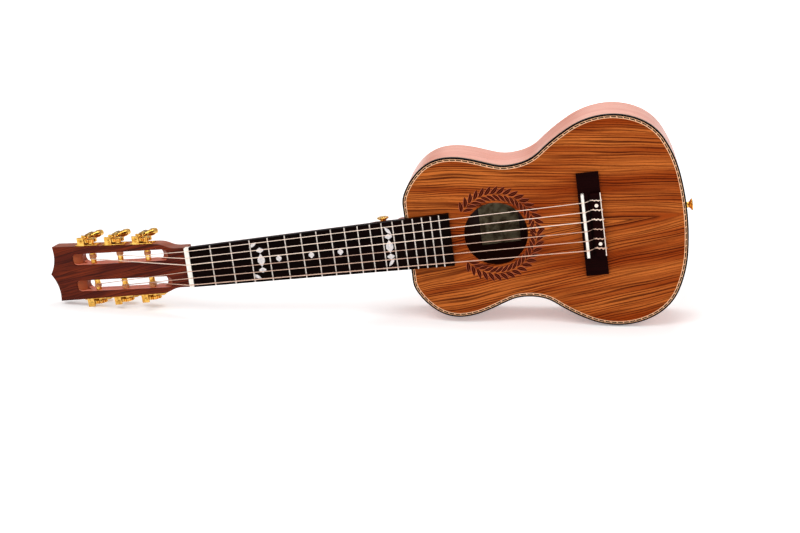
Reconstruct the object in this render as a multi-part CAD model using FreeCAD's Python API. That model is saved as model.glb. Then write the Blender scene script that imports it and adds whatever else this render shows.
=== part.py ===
import FreeCAD, Part
import math
import os
from FreeCAD import Placement, Rotation, Vector

# A six-string guitarlele: a small flat-top guitar with a slotted head, six open
# worm-and-gear tuning machines, a tie-block bridge and two strap buttons.
# Millimetres. While it is drawn, +X runs from the nut to the tail, +Y from the front
# to the back, and +Z to the treble side. Y is zero at the fretboard's face and X is
# zero at the nut's playing edge. The last step stands it on its bass side.

# Strings
SCALE_LENGTH = 433.0
STRINGS_PER_SIDE = 3
NUT_STRING_PITCH = 7.7
SADDLE_STRING_PITCH = 10.6
STRING_RADII = {1: 0.36, 2: 0.41, 3: 0.5, 4: 0.37, 5: 0.43, 6: 0.54}
STRING_NUT_LIFT = 1.9
STRING_SADDLE_LIFT = 5.2
STRING_SEAT_GAP = 0.1
TIE_LOOP_SPACE = 0.5
TIE_END_LENGTH = 2.6

# Neck and fretboard
FRET_COUNT = 18
JOIN_FRET = 14
OCTAVE_FRETS = 12
NUT_WIDTH = 45.0
JOIN_WIDTH = 56.0
NUT_LENGTH = 5.0
NUT_PROUD = 1.9
NUT_GROOVE_GAP = 0.03
FRETBOARD_THICKNESS = 6.5
FRETBOARD_TAIL = 10.6
FRET_HEIGHT = 1.0
FRET_BASE = 2.2
FRET_CROWN = 1.0
NECK_DEPTH_NUT = 13.0
NECK_DEPTH_JOIN = 15.5
HEEL_REACH = 58.0
HEEL_FOOT_WIDTH = 30.0
HEEL_CAP_THICKNESS = 2.2
INLAY_THICKNESS = 0.8
INLAY_WIDTH = 30.0
INLAY_GAP = 1.0
MARK_LENGTH = 8.0
MARK_WIDTH = 6.0
SMALL_MARK_FRETS = (5, 7, 9)
LARGE_MARK_FRETS = (4, 13)

# Body
BODY_GAP = 1.8
BODY_LENGTH = 303.6
LOWER_BOUT_WIDTH = 233.6
LOWER_BOUT_FROM_TAIL = 76.9
WAIST_WIDTH = 147.6
WAIST_FROM_TAIL = 185.4
UPPER_BOUT_WIDTH = 179.0
UPPER_BOUT_FROM_TAIL = 252.1
NECK_FLAT_WIDTH = 57.0
DEPTH_AT_NECK = 70.5
DEPTH_AT_TAIL = 82.0
TOP_THICKNESS = 2.3
BACK_THICKNESS = 2.3
SIDE_THICKNESS = 2.1
BINDING_WIDTH = 1.5
BINDING_DEPTH = 4.5
PURFLING_WIDTH = 2.8
SOUNDHOLE_RADIUS = 34.7
SOUNDHOLE_FROM_BODY_START = 97.1
LINING_WIDTH = 4.5
LINING_DEPTH = 10.0
NECK_BLOCK_LENGTH = 22.0
NECK_BLOCK_WIDTH = 66.0
TAIL_BLOCK_LENGTH = 14.0
TAIL_BLOCK_WIDTH = 60.0
BRACE_WIDTH = 6.0
BRACE_HEIGHT = 11.0
BRACE_END_HEIGHT = 4.0
BRACE_TAPER = 24.0
FAN_WIDTH = 4.5
FAN_HEIGHT = 5.5
FAN_SPREAD = 8.0
FAN_PITCH = 30.0
FAN_COUNT = 5
BACK_BRACE_WIDTH = 7.0
BACK_BRACE_HEIGHT = 9.0
BRIDGE_PATCH_THICKNESS = 2.0
BRIDGE_PATCH_MARGIN = 8.0
LABEL_LENGTH = 44.0
LABEL_WIDTH = 56.0
LABEL_THICKNESS = 0.3

# Bridge
BRIDGE_WIDTH = 114.0
BRIDGE_LENGTH = 24.2
BRIDGE_FRONT = 4.6
SADDLE_SETBACK = 3.0
SADDLE_WIDTH = 70.0
SADDLE_THICKNESS = 3.2
SADDLE_SEAT = 3.0
SADDLE_CROWN = 0.6
WING_HEIGHT = 3.6
WING_END_HEIGHT = 2.6
RIDGE_HEIGHT = 7.0
RIDGE_LENGTH = 9.6
VALLEY_HEIGHT = 3.2
TIE_BLOCK_LENGTH = 11.2
TIE_BLOCK_HEIGHT = 8.6
TIE_HOLE_HEIGHT = 4.6
TIE_HOLE_RADIUS = 0.8
TIE_STRIP_LENGTH = 2.0
TIE_STRIP_THICKNESS = 1.0
DOT_RADIUS = 2.0
DOT_THICKNESS = 0.8

# Head
HEAD_TILT = 12.0
HEAD_DROP = 3.0
HEAD_THICKNESS = 17.0
VENEER_THICKNESS = 1.6
HEAD_LENGTH = 172.5
HEAD_CORNER_LENGTH = 165.3
HEAD_END_WIDTH = 63.6
HEAD_SHOULDER_WIDTH = 57.0
HEAD_STRAIGHT = 11.0
HEAD_SHOULDER = 37.0
SLOT_START = 31.0
SLOT_LENGTH = 102.0
SLOT_WIDTH = 13.0
SLOT_FROM_CENTRE = 9.0
SLOT_RAMP = 9.5
SLOT_RAMP_DEPTH = 9.0

# Tuning machines
ROLLER_PITCH = 34.4
FIRST_ROLLER = 49.4
ROLLER_DEPTH = 7.0
ROLLER_RADIUS = 3.2
ROLLER_BEARING = 5.0
RUNNING_GAP = 0.08
WINDING_GAP = 0.05
WINDING_HALF_TURNS = 3
WINDING_SPACE = 0.45
STRING_SIDES = 6
WINDING_SIDES = 4
WINDING_PLACES = {1: 6.0, 2: 4.5, 3: 7.0}
STRING_END_GAP = 0.3
PLATE_LENGTH = 27.0
PLATE_WIDTH = 10.5
PLATE_THICKNESS = 1.2
PLATE_OFFSET = 4.0
GEAR_TEETH = 14
GEAR_MODULE = 0.88
GEAR_THICKNESS = 3.4
WORM_PLATE_GAP = 0.3
TOOTH_CLEARANCE = 0.25
TOOTH_FLAT = 0.5
WORM_RADIUS = 3.7
WORM_TURNS = 3
WORM_SIDES = 8
WORM_STEPS = 8
SHAFT_RADIUS = 1.4
EAR_THICKNESS = 1.6
EAR_REACH_IN = 3.1
EAR_REACH_OUT = 5.3
EAR_PROUD = 9.6
EAR_GAP = 0.3
SHAFT_REACH = 18.0
BUTTON_LENGTH = 22.0
BUTTON_THICKNESS = 8.4
BUTTON_HEIGHT = 12.5
BUTTON_FOOT_LENGTH = 6.4
BUTTON_END_FLATS = 5
BUTTON_CHAMFER = 1.0
TREBLE_BUTTON_TURN = -11.0
BASS_BUTTON_TURN = -8.9

# Strap buttons
STRAP_HEAD_RADIUS = 6.6
STRAP_STEM_RADIUS = 3.2
STRAP_BASE_RADIUS = 4.6
STRAP_BASE_HEIGHT = 1.2
STRAP_FLARE_START = 4.2
STRAP_HEIGHT = 8.0
STRAP_RIM = 1.3
HEEL_STRAP_FROM_BODY = 26.5
HEEL_STRAP_DEPTH = 29.0
HEEL_STRAP_SEAT = 19.4

# Work allowances
OVERRUN = 10.0
STEP = 0.5
QUARTER = 90.0
FLAT_ANGLE = 1e-6
FLATS_PER_ARC = 4
SHARP_HALF_TURN = 0.3
CONTACT_SAMPLES = 12
ARC_ROOM_SHARE = 0.45

# Outline between its widest and narrowest stations. Each row places a point between
# two stations, along and across, and gives its slope against the mean slope there.
TAIL_CORNER_SHARES = (0.211, 0.712, 1.275)
LOWER_FLANK_SHARES = (0.318, 0.251, 2.04)
UPPER_FLANK_SHARES = (0.417, 0.446, 1.64)
SHOULDER_SHARES = (0.052, 0.43, 1.75)

# Heel sections from the fretboard down: depth, reach and width against the heel's own
HEEL_DEPTH_SHARES = (0.0, 0.34, 0.66, 1.0)
HEEL_REACH_SHARES = (1.0, 0.72, 0.44, 0.36)
HEEL_WIDTH_SHARES = (1.0, 0.69, 0.56, 0.5)
HEEL_NOSE_SHARE = 0.45

# Head end: where across the scoop between corner and peak is level with the corner
SCOOP_ACROSS_SHARE = 0.5

# Where the button reaches its full width, against its height
BUTTON_SHOULDER_SHARE = 0.34

# Stations of the top's cross braces: one in the room from neck block to soundhole, one
# in the room from soundhole to bridge patch
UPPER_BRACE_SHARE = 0.48
LOWER_BRACE_SHARE = 0.4

# Stations of the back's braces: one in the room from neck block to label, the others in
# the room from label to tail block
UPPER_BACK_BRACE_SHARE = 0.53
LOWER_BACK_BRACE_SHARES = (0.19, 0.735)

# Where an outer leaf of three has its middle, across
OUTER_LEAF_SHARE = 0.375

# A leaf's corners, along and across, against its length and width
LEAF_SHARES = ((0.0, -0.5), (0.5, -0.12), (0.5, 0.12), (0.0, 0.5), (-0.5, 0.12), (-0.5, -0.12))


def fret_place(number):
    """Distance of a fret from the nut."""
    return SCALE_LENGTH * (1 - 2 ** (-number / OCTAVE_FRETS))


def board_width(x):
    """Fretboard width, which grows evenly from the nut."""
    return NUT_WIDTH + (JOIN_WIDTH - NUT_WIDTH) * x / fret_place(JOIN_FRET)


BODY_START = fret_place(JOIN_FRET) + BODY_GAP
BODY_END = BODY_START + BODY_LENGTH
BOARD_END = fret_place(FRET_COUNT) + FRETBOARD_TAIL
TOP_FACE = FRETBOARD_THICKNESS
TOP_INSIDE = TOP_FACE + TOP_THICKNESS
SADDLE_PLACE = SCALE_LENGTH + SADDLE_SETBACK
BRIDGE_START = SADDLE_PLACE - BRIDGE_FRONT
BRIDGE_END = BRIDGE_START + BRIDGE_LENGTH
SOUNDHOLE_PLACE = BODY_START + SOUNDHOLE_FROM_BODY_START
NECK_BLOCK_END = BODY_START + SIDE_THICKNESS + NECK_BLOCK_LENGTH
TAIL_BLOCK_START = BODY_END - SIDE_THICKNESS - TAIL_BLOCK_LENGTH
LABEL_START = SOUNDHOLE_PLACE - LABEL_LENGTH / 2
LABEL_END = LABEL_START + LABEL_LENGTH
STRINGS = 2 * STRINGS_PER_SIDE
BODY_REACH = LOWER_BOUT_WIDTH / 2 + OVERRUN


# Plane curves: points and directions are (along, across) pairs

def unit(vector):
    """The same direction at length one."""
    length = math.hypot(vector[0], vector[1])
    return (vector[0] / length, vector[1] / length)


def left_of(way):
    """The direction a quarter turn to the left."""
    return (-way[1], way[0])


def moved(point, way, distance):
    """The point shifted along a direction."""
    return (point[0] + way[0] * distance, point[1] + way[1] * distance)


def biarc(start, start_way, end, end_way):
    """Two tangent arcs, as (start, start way, end, end way) runs."""
    chord = (end[0] - start[0], end[1] - start[1])
    both = (start_way[0] + end_way[0], start_way[1] + end_way[1])
    a = 2 - 2 * (start_way[0] * end_way[0] + start_way[1] * end_way[1])
    b = 2 * (chord[0] * both[0] + chord[1] * both[1])
    c = -(chord[0] ** 2 + chord[1] ** 2)
    arm = -2 * c / (b + math.sqrt(b * b - 4 * a * c))
    near = moved(start, start_way, arm)
    far = moved(end, end_way, -arm)
    middle = ((near[0] + far[0]) / 2, (near[1] + far[1]) / 2)
    middle_way = unit((far[0] - near[0], far[1] - near[1]))
    return [(start, start_way, middle, middle_way), (middle, middle_way, end, end_way)]


def run_middle(run):
    """The middle point of an arc that leaves its start along its way."""
    start, way, end, _ = run
    chord = (end[0] - start[0], end[1] - start[1])
    length = math.hypot(chord[0], chord[1])
    turn = math.atan2(way[0] * chord[1] - way[1] * chord[0], way[0] * chord[0] + way[1] * chord[1])
    centre = ((start[0] + end[0]) / 2, (start[1] + end[1]) / 2)
    return moved(centre, left_of(unit(chord)), -length / 2 * math.tan(turn / 2))


def inset_run(run, inset):
    """The run moved to its left by the inset, with its directions kept."""
    start, way, end, end_way = run
    return (moved(start, left_of(way), inset), way, moved(end, left_of(end_way), inset), end_way)


def run_edge(run, place, mirrored):
    """The run as an edge, which place turns into space, or its mirror run backwards."""
    middle = run_middle(run)
    points = [run[0], middle, run[2]]
    if mirrored:
        points = [(point[0], -point[1]) for point in reversed(points)]
    first, second, third = [place(point) for point in points]
    straight = unit((run[2][0] - run[0][0], run[2][1] - run[0][1]))
    if abs(straight[0] * run[1][1] - straight[1] * run[1][0]) < FLAT_ANGLE:
        return Part.LineSegment(first, third).toShape()
    return Part.Arc(first, second, third).toShape()


def mirrored_wire(runs, place):
    """A closed wire from a half outline and its mirror image."""
    edges = [run_edge(run, place, False) for run in runs]
    edges += [run_edge(run, place, True) for run in reversed(runs)]
    return Part.Wire(edges)


def upright(height):
    """Places plane points at one depth of the instrument."""
    return lambda point: Vector(point[0], height, point[1])


def faceted(rows):
    """A solid between like closed polygons, skinned with flat triangles."""
    faces = [Part.Face(Part.makePolygon(row + row[:1])) for row in (rows[0], rows[-1])]
    for low, high in zip(rows, rows[1:]):
        for index in range(len(low)):
            following = (index + 1) % len(low)
            quad = (low[index], low[following], high[following], high[index])
            for corners in ((quad[0], quad[1], quad[2]), (quad[0], quad[2], quad[3])):
                faces.append(Part.Face(Part.makePolygon(list(corners) + [corners[0]])))
    shell = Part.Shell(faces)
    shell.sewShape()
    return Part.Solid(shell)


def run_points(run):
    """Even points along an arc, its end left out."""
    start, way, end, _ = run
    chord = (end[0] - start[0], end[1] - start[1])
    turn = 2 * math.atan2(way[0] * chord[1] - way[1] * chord[0], way[0] * chord[0] + way[1] * chord[1])
    points = []
    for index in range(FLATS_PER_ARC):
        share = index / FLATS_PER_ARC
        if abs(turn) < FLAT_ANGLE:
            points.append((start[0] + chord[0] * share, start[1] + chord[1] * share))
            continue
        reach = math.sin(turn * share / 2) / math.sin(turn / 2)
        bend = turn * (share - 1) / 2
        along = (chord[0] * math.cos(bend) - chord[1] * math.sin(bend),
                 chord[0] * math.sin(bend) + chord[1] * math.cos(bend))
        points.append((start[0] + along[0] * reach, start[1] + along[1] * reach))
    return points


def between(first, second, shares):
    """A point between two stations, and its slope as a direction from first to second."""
    along = second[0] - first[0]
    across = second[1] - first[1]
    point = (first[0] + along * shares[0], first[1] + across * shares[1])
    return point, unit((along, across * shares[2]))


# Body outline

def half_outline():
    """Arcs from the tail round the treble side to the neck's flat seat."""
    tail = (BODY_END, 0.0)
    lower = (BODY_END - LOWER_BOUT_FROM_TAIL, LOWER_BOUT_WIDTH / 2)
    waist = (BODY_END - WAIST_FROM_TAIL, WAIST_WIDTH / 2)
    upper = (BODY_END - UPPER_BOUT_FROM_TAIL, UPPER_BOUT_WIDTH / 2)
    seat = (BODY_START, NECK_FLAT_WIDTH / 2)
    level = (-1.0, 0.0)
    stops = [(tail, (0.0, 1.0))]
    stops.append(between(tail, lower, TAIL_CORNER_SHARES))
    stops.append((lower, level))
    stops.append(between(waist, lower, LOWER_FLANK_SHARES))
    stops[-1] = (stops[-1][0], (-stops[-1][1][0], -stops[-1][1][1]))
    stops.append((waist, level))
    stops.append(between(waist, upper, UPPER_FLANK_SHARES))
    stops.append((upper, level))
    shoulder, slope = between(seat, upper, SHOULDER_SHARES)
    stops.append((shoulder, (-slope[0], -slope[1])))
    stops.append((seat, (0.0, -1.0)))
    runs = []
    for (start, start_way), (end, end_way) in zip(stops, stops[1:]):
        runs += biarc(start, start_way, end, end_way)
    runs.append((seat, (0.0, -1.0), (BODY_START, 0.0), (0.0, -1.0)))
    return runs


OUTLINE = half_outline()


def body_prism(inset, front, back):
    """The body's outline, moved inwards, between two depths."""
    runs = [inset_run(run, inset) for run in OUTLINE]
    face = Part.Face(mirrored_wire(runs, upright(front)))
    return face.extrude(Vector(0, back - front, 0))


def body_ring(outer, inner, front, back):
    """A band that follows the outline between two insets."""
    return body_prism(outer, front, back).cut(body_prism(inner, front, back))


def box(x0, x1, y0, y1, z0, z1):
    """A box between two corners."""
    return Part.makeBox(x1 - x0, y1 - y0, z1 - z0, Vector(x0, y0, z0))


def back_depth(x):
    """Depth of the back's outer face, which falls away towards the tail."""
    slope = (DEPTH_AT_TAIL - DEPTH_AT_NECK) / BODY_LENGTH
    return TOP_FACE + DEPTH_AT_NECK + slope * (x - BODY_START)


def back_slab(inner, outer):
    """A sloping layer measured forwards from the back's outer face."""
    x0 = BODY_START - OVERRUN
    x1 = BODY_END + OVERRUN
    corners = [
        Vector(x0, back_depth(x0) - inner, -BODY_REACH),
        Vector(x1, back_depth(x1) - inner, -BODY_REACH),
        Vector(x1, back_depth(x1) - outer, -BODY_REACH),
        Vector(x0, back_depth(x0) - outer, -BODY_REACH),
    ]
    face = Part.Face(Part.makePolygon(corners + corners[:1]))
    return face.extrude(Vector(0, 0, 2 * BODY_REACH))


DEEPEST = back_depth(BODY_END) + OVERRUN
WHOLE_DEPTH = DEEPEST - TOP_FACE


# Body pieces

def soundboard():
    """The top inside its purfling, with the soundhole."""
    plate = body_prism(BINDING_WIDTH + PURFLING_WIDTH, TOP_FACE, TOP_INSIDE)
    hole = Part.makeCylinder(
        SOUNDHOLE_RADIUS, TOP_THICKNESS, Vector(SOUNDHOLE_PLACE, TOP_FACE, 0), Vector(0, 1, 0))
    return plate.cut(hole)


def top_purfling():
    """The decorative strip round the edge of the top, over the side and its lining."""
    return body_ring(BINDING_WIDTH, BINDING_WIDTH + PURFLING_WIDTH, TOP_FACE, TOP_INSIDE)


def top_binding():
    """The edge strip round the front."""
    return body_ring(0, BINDING_WIDTH, TOP_FACE, TOP_FACE + BINDING_DEPTH)


def back_plate():
    """The sloping back, flush with the sides."""
    return body_prism(0, TOP_FACE, DEEPEST).common(back_slab(BACK_THICKNESS, 0))


def rim(side):
    """One bent side, half of the body's wall, cut back for the binding."""
    wall = body_ring(0, SIDE_THICKNESS, TOP_INSIDE, DEEPEST)
    wall = wall.common(back_slab(WHOLE_DEPTH, BACK_THICKNESS)).cut(top_binding())
    low, high = sorted((0, side * BODY_REACH))
    half = box(BODY_START - OVERRUN, BODY_END + OVERRUN, TOP_FACE, DEEPEST, low, high)
    return wall.common(half)


def inner_block(x0, x1, width):
    """A block between top and back that follows the inside of the sides."""
    blank = box(x0, x1, TOP_INSIDE, DEEPEST, -width / 2, width / 2)
    blank = blank.common(back_slab(WHOLE_DEPTH, BACK_THICKNESS))
    return blank.common(body_prism(SIDE_THICKNESS, TOP_INSIDE, DEEPEST))


def neck_block():
    """The block that the neck is fixed to."""
    return inner_block(BODY_START, NECK_BLOCK_END, NECK_BLOCK_WIDTH)


def tail_block():
    """The block that joins the sides at the tail."""
    return inner_block(TAIL_BLOCK_START, BODY_END, TAIL_BLOCK_WIDTH)


def blocks():
    """Both end blocks, to fit the linings round."""
    return neck_block().fuse(tail_block())


def top_lining():
    """The glue strip inside the sides along the top."""
    strip = body_ring(SIDE_THICKNESS, SIDE_THICKNESS + LINING_WIDTH, TOP_INSIDE, TOP_INSIDE + LINING_DEPTH)
    return strip.cut(blocks())


def back_lining():
    """The glue strip inside the sides along the back."""
    strip = body_ring(SIDE_THICKNESS, SIDE_THICKNESS + LINING_WIDTH, TOP_INSIDE, DEEPEST)
    return strip.common(back_slab(BACK_THICKNESS + LINING_DEPTH, BACK_THICKNESS)).cut(blocks())


def cavity():
    """The room inside the linings, which the braces stay within."""
    inside = body_prism(SIDE_THICKNESS + LINING_WIDTH, TOP_INSIDE, DEEPEST)
    return inside.common(back_slab(WHOLE_DEPTH, BACK_THICKNESS))


def cross_brace(x, width, foot, height, way):
    """A brace across the body from its foot's depth, lower towards its ends."""
    reach = BODY_REACH - OVERRUN - SIDE_THICKNESS - LINING_WIDTH
    profile = [
        (-reach, 0), (reach, 0), (reach, BRACE_END_HEIGHT), (reach - BRACE_TAPER, height),
        (BRACE_TAPER - reach, height), (-reach, BRACE_END_HEIGHT),
    ]
    points = [Vector(x - width / 2, foot + way * rise, across) for across, rise in profile]
    face = Part.Face(Part.makePolygon(points + points[:1]))
    return face.extrude(Vector(width, 0, 0))


def placed_between(start, end, share):
    """The place at a share of the way from start to end."""
    return start + (end - start) * share


def top_brace_places():
    """Middles of the top's cross braces, either side of the soundhole."""
    hole_start = SOUNDHOLE_PLACE - SOUNDHOLE_RADIUS
    hole_end = SOUNDHOLE_PLACE + SOUNDHOLE_RADIUS
    patch_start = BRIDGE_START - BRIDGE_PATCH_MARGIN
    upper = placed_between(NECK_BLOCK_END, hole_start, UPPER_BRACE_SHARE)
    lower = placed_between(hole_end, patch_start, LOWER_BRACE_SHARE)
    return (upper, lower)


def back_brace_places():
    """Middles of the back's braces, either side of the label."""
    places = [placed_between(NECK_BLOCK_END, LABEL_START, UPPER_BACK_BRACE_SHARE)]
    for share in LOWER_BACK_BRACE_SHARES:
        places.append(placed_between(LABEL_END, TAIL_BLOCK_START, share))
    return places


def bridge_patch():
    """The thin plate glued under the top below the bridge."""
    side = BRIDGE_WIDTH / 2 + BRIDGE_PATCH_MARGIN
    return box(BRIDGE_START - BRIDGE_PATCH_MARGIN, BRIDGE_END + BRIDGE_PATCH_MARGIN,
               TOP_INSIDE, TOP_INSIDE + BRIDGE_PATCH_THICKNESS, -side, side)


def fan_brace(index):
    """One strut of the fan under the lower bout."""
    start = top_brace_places()[-1] + BRACE_WIDTH / 2
    place = index - (FAN_COUNT - 1) / 2
    front = place * FAN_PITCH
    back = place * (FAN_PITCH + FAN_SPREAD)
    corners = [
        Vector(start, TOP_INSIDE, front - FAN_WIDTH / 2), Vector(BODY_END, TOP_INSIDE, back - FAN_WIDTH / 2),
        Vector(BODY_END, TOP_INSIDE, back + FAN_WIDTH / 2), Vector(start, TOP_INSIDE, front + FAN_WIDTH / 2),
    ]
    strut = Part.Face(Part.makePolygon(corners + corners[:1])).extrude(Vector(0, FAN_HEIGHT, 0))
    return strut.common(cavity()).cut(bridge_patch()).cut(tail_block())


def top_braces():
    """Two cross braces and the fan, glued under the top."""
    room = cavity().cut(neck_block())
    pieces = []
    for x in top_brace_places():
        brace = cross_brace(x, BRACE_WIDTH, TOP_INSIDE, BRACE_HEIGHT, 1)
        pieces += brace.common(room).Solids
    for index in range(FAN_COUNT):
        pieces += fan_brace(index).Solids
    return Part.makeCompound(pieces)


def back_braces():
    """Three cross braces on the inside of the back."""
    pieces = []
    for x in back_brace_places():
        foot = back_depth(x) - BACK_THICKNESS
        brace = cross_brace(x, BACK_BRACE_WIDTH, foot, BACK_BRACE_HEIGHT, -1)
        skirt = box(x - BACK_BRACE_WIDTH / 2, x + BACK_BRACE_WIDTH / 2, foot, foot + OVERRUN,
                    OVERRUN - BODY_REACH, BODY_REACH - OVERRUN)
        pieces += brace.fuse(skirt).removeSplitter().common(cavity()).Solids
    return Part.makeCompound(pieces)


def label():
    """A plain paper label on the back, seen through the soundhole."""
    patch = box(LABEL_START, LABEL_END, TOP_INSIDE, DEEPEST, -LABEL_WIDTH / 2, LABEL_WIDTH / 2)
    return patch.common(back_slab(BACK_THICKNESS + LABEL_THICKNESS, BACK_THICKNESS))


# Neck and head

def neck_section(x, depth):
    """The neck's rounded section under the fretboard, as the corners of its flats."""
    half = board_width(x) / 2
    runs = biarc((half, 0.0), (0.0, 1.0), (0.0, depth), (-1.0, 0.0))
    points = run_points(runs[0]) + run_points(runs[1]) + [(0.0, depth)]
    points += [(-point[0], point[1]) for point in reversed(points[:-1])]
    return [Vector(x, TOP_FACE + point[1], point[0]) for point in points]


def heel_section(depth_share, reach_share, width_share):
    """A rounded section through the heel, flat against the body, as the corners of its flats."""
    bottom = back_depth(BODY_START) - HEEL_CAP_THICKNESS
    height = TOP_FACE + (bottom - TOP_FACE) * depth_share
    half = board_width(BODY_START) / 2 * width_share
    reach = HEEL_REACH * reach_share
    bend = BODY_START - reach * (1 - HEEL_NOSE_SHARE)
    runs = biarc((bend, half), (-1.0, 0.0), (BODY_START - reach, 0.0), (0.0, -1.0))
    points = [(BODY_START, half)] + run_points(runs[0]) + run_points(runs[1]) + [(BODY_START - reach, 0.0)]
    points += [(point[0], -point[1]) for point in reversed(points[:-1])]
    return [Vector(point[0], height, point[1]) for point in points]


def heel():
    """The heel, narrower and shorter towards its foot."""
    rows = zip(HEEL_DEPTH_SHARES, HEEL_REACH_SHARES, HEEL_WIDTH_SHARES)
    return faceted([heel_section(*row) for row in rows])


def heel_cap():
    """The thin plate on the heel's foot, level with the back."""
    points = heel_section(HEEL_DEPTH_SHARES[-1], HEEL_REACH_SHARES[-1], HEEL_WIDTH_SHARES[-1])
    return Part.Face(Part.makePolygon(points + points[:1])).extrude(Vector(0, HEEL_CAP_THICKNESS, 0))


def head_runs():
    """Half the head's outline, from the nut along the treble edge to the peak."""
    root = (0.0, NUT_WIDTH / 2)
    bend = (-HEAD_STRAIGHT, NUT_WIDTH / 2)
    shoulder = (-HEAD_SHOULDER, HEAD_SHOULDER_WIDTH / 2)
    corner = (-HEAD_CORNER_LENGTH, HEAD_END_WIDTH / 2)
    flare = unit((corner[0] - shoulder[0], corner[1] - shoulder[1]))
    runs = [(root, (-1.0, 0.0), bend, (-1.0, 0.0))]
    runs += biarc(bend, (-1.0, 0.0), shoulder, flare)
    runs.append((shoulder, flare, corner, flare))
    return runs


def head_prism(front, back):
    """The head's outline between two depths below its face."""
    place = upright(front)
    corner = (-HEAD_CORNER_LENGTH, HEAD_END_WIDTH / 2)
    peak = (-HEAD_LENGTH, 0.0)
    scoop = (-HEAD_CORNER_LENGTH, corner[1] * SCOOP_ACROSS_SHARE)
    edges = [run_edge(run, place, False) for run in head_runs()]
    edges.append(Part.Arc(place(corner), place(scoop), place(peak)).toShape())
    edges.append(Part.Arc(place(peak), place((scoop[0], -scoop[1])), place((corner[0], -corner[1]))).toShape())
    edges += [run_edge(run, place, True) for run in reversed(head_runs())]
    edges.append(Part.LineSegment(place((0.0, -NUT_WIDTH / 2)), place((0.0, NUT_WIDTH / 2))).toShape())
    return Part.Face(Part.Wire(edges)).extrude(Vector(0, back - front, 0))


def slot_cut(side):
    """One slot through the head, with a ramp up to the face at each end."""
    radius = SLOT_WIDTH / 2
    middle = side * (SLOT_FROM_CENTRE + radius)
    near = -SLOT_START - radius
    far = -SLOT_START - SLOT_LENGTH + radius
    down = Vector(0, 1, 0)
    depth = HEAD_THICKNESS + 2 * OVERRUN
    cut = box(far, near, -OVERRUN, depth - OVERRUN, middle - radius, middle + radius)
    for x, way in ((near, 1), (far, -1)):
        cut = cut.fuse(Part.makeCylinder(radius, depth, Vector(x, -OVERRUN, middle), down))
        cut = cut.fuse(slot_ramp(x, way, middle))
    return cut


def slot_ramp(x, way, middle):
    """The sloping end of a slot, round in plan, with a flat floor up to the face."""
    radius = SLOT_WIDTH / 2
    depth = SLOT_RAMP_DEPTH + OVERRUN
    end = x + way * SLOT_RAMP
    room = Part.makeCylinder(radius, depth, Vector(end, -OVERRUN, middle), Vector(0, 1, 0))
    low, high = sorted((x, end))
    room = room.fuse(box(low, high, -OVERRUN, SLOT_RAMP_DEPTH, middle - radius, middle + radius))
    rise = SLOT_RAMP * (1 + OVERRUN / SLOT_RAMP_DEPTH) + radius + STEP
    profile = [(0, -OVERRUN), (rise, -OVERRUN), (radius + STEP, SLOT_RAMP_DEPTH), (0, SLOT_RAMP_DEPTH)]
    points = [Vector(x + way * along, down, middle - radius - STEP) for along, down in profile]
    wedge = Part.Face(Part.makePolygon(points + points[:1])).extrude(Vector(0, 0, SLOT_WIDTH + 2 * STEP))
    return room.common(wedge)


HEAD_FRAME = Placement(Vector(-NUT_LENGTH, HEAD_DROP, 0), Rotation(Vector(0, 0, 1), -HEAD_TILT))


def placed(shape, frame):
    """A copy of the shape carried into a frame."""
    return shape.transformed(frame.toMatrix(), True)


def mirrored(shape):
    """The same piece on the bass side."""
    return shape.mirror(Vector(0, 0, 0), Vector(0, 0, 1))


def on_side(shape, side):
    """The piece as drawn for the treble side, or its mirror image."""
    return shape if side > 0 else mirrored(shape)


def edge_half(u):
    """Half the head's width at a distance from its root, past the shoulder."""
    share = (u - HEAD_SHOULDER) / (HEAD_CORNER_LENGTH - HEAD_SHOULDER)
    return (HEAD_SHOULDER_WIDTH + (HEAD_END_WIDTH - HEAD_SHOULDER_WIDTH) * share) / 2


def machine_frame(row):
    """The frame of a tuning machine: on the treble edge, +Z out along its roller."""
    u = FIRST_ROLLER + row * ROLLER_PITCH
    rise = (HEAD_END_WIDTH - HEAD_SHOULDER_WIDTH) / 2
    flare = math.degrees(math.atan2(rise, HEAD_CORNER_LENGTH - HEAD_SHOULDER))
    turn = Rotation(Vector(0, 1, 0), flare)
    return HEAD_FRAME.multiply(Placement(Vector(-u, ROLLER_DEPTH, edge_half(u)), turn))


def slot_depth_at(row):
    """Distance from the machine's seat to the slot's outer wall."""
    u = FIRST_ROLLER + row * ROLLER_PITCH
    return edge_half(u) - SLOT_FROM_CENTRE - SLOT_WIDTH


def roller_reach(row):
    """How far the roller runs in from the machine's seat."""
    return slot_depth_at(row) + SLOT_WIDTH + ROLLER_BEARING


def roller_bores():
    """The holes that the rollers turn in."""
    cuts = []
    for row in range(STRINGS_PER_SIDE):
        reach = roller_reach(row) + RUNNING_GAP
        bore = Part.makeCylinder(ROLLER_RADIUS + RUNNING_GAP, reach + OVERRUN, Vector(0, 0, -reach))
        bore = placed(bore, machine_frame(row))
        cuts += [bore, mirrored(bore)]
    return cuts


def head_wood(front, back):
    """A layer of the head with its slots, in the instrument's frame."""
    layer = head_prism(front, back)
    for side in (1, -1):
        layer = layer.cut(slot_cut(side))
    return placed(layer, HEAD_FRAME)


def neck():
    """Shaft, heel and head, cut from one piece of wood."""
    shaft = faceted([neck_section(-NUT_LENGTH, NECK_DEPTH_NUT), neck_section(BODY_START, NECK_DEPTH_JOIN)])
    wood = shaft.fuse(heel()).fuse(head_wood(VENEER_THICKNESS, HEAD_THICKNESS))
    for bore in roller_bores():
        wood = wood.cut(bore)
    wood = wood.cut(placed(strap_seat_cut(), heel_strap_frame()))
    return wood.cut(nut_blank())


def head_veneer():
    """The dark facing of the head."""
    return head_wood(0, VENEER_THICKNESS).cut(nut_blank())


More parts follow.
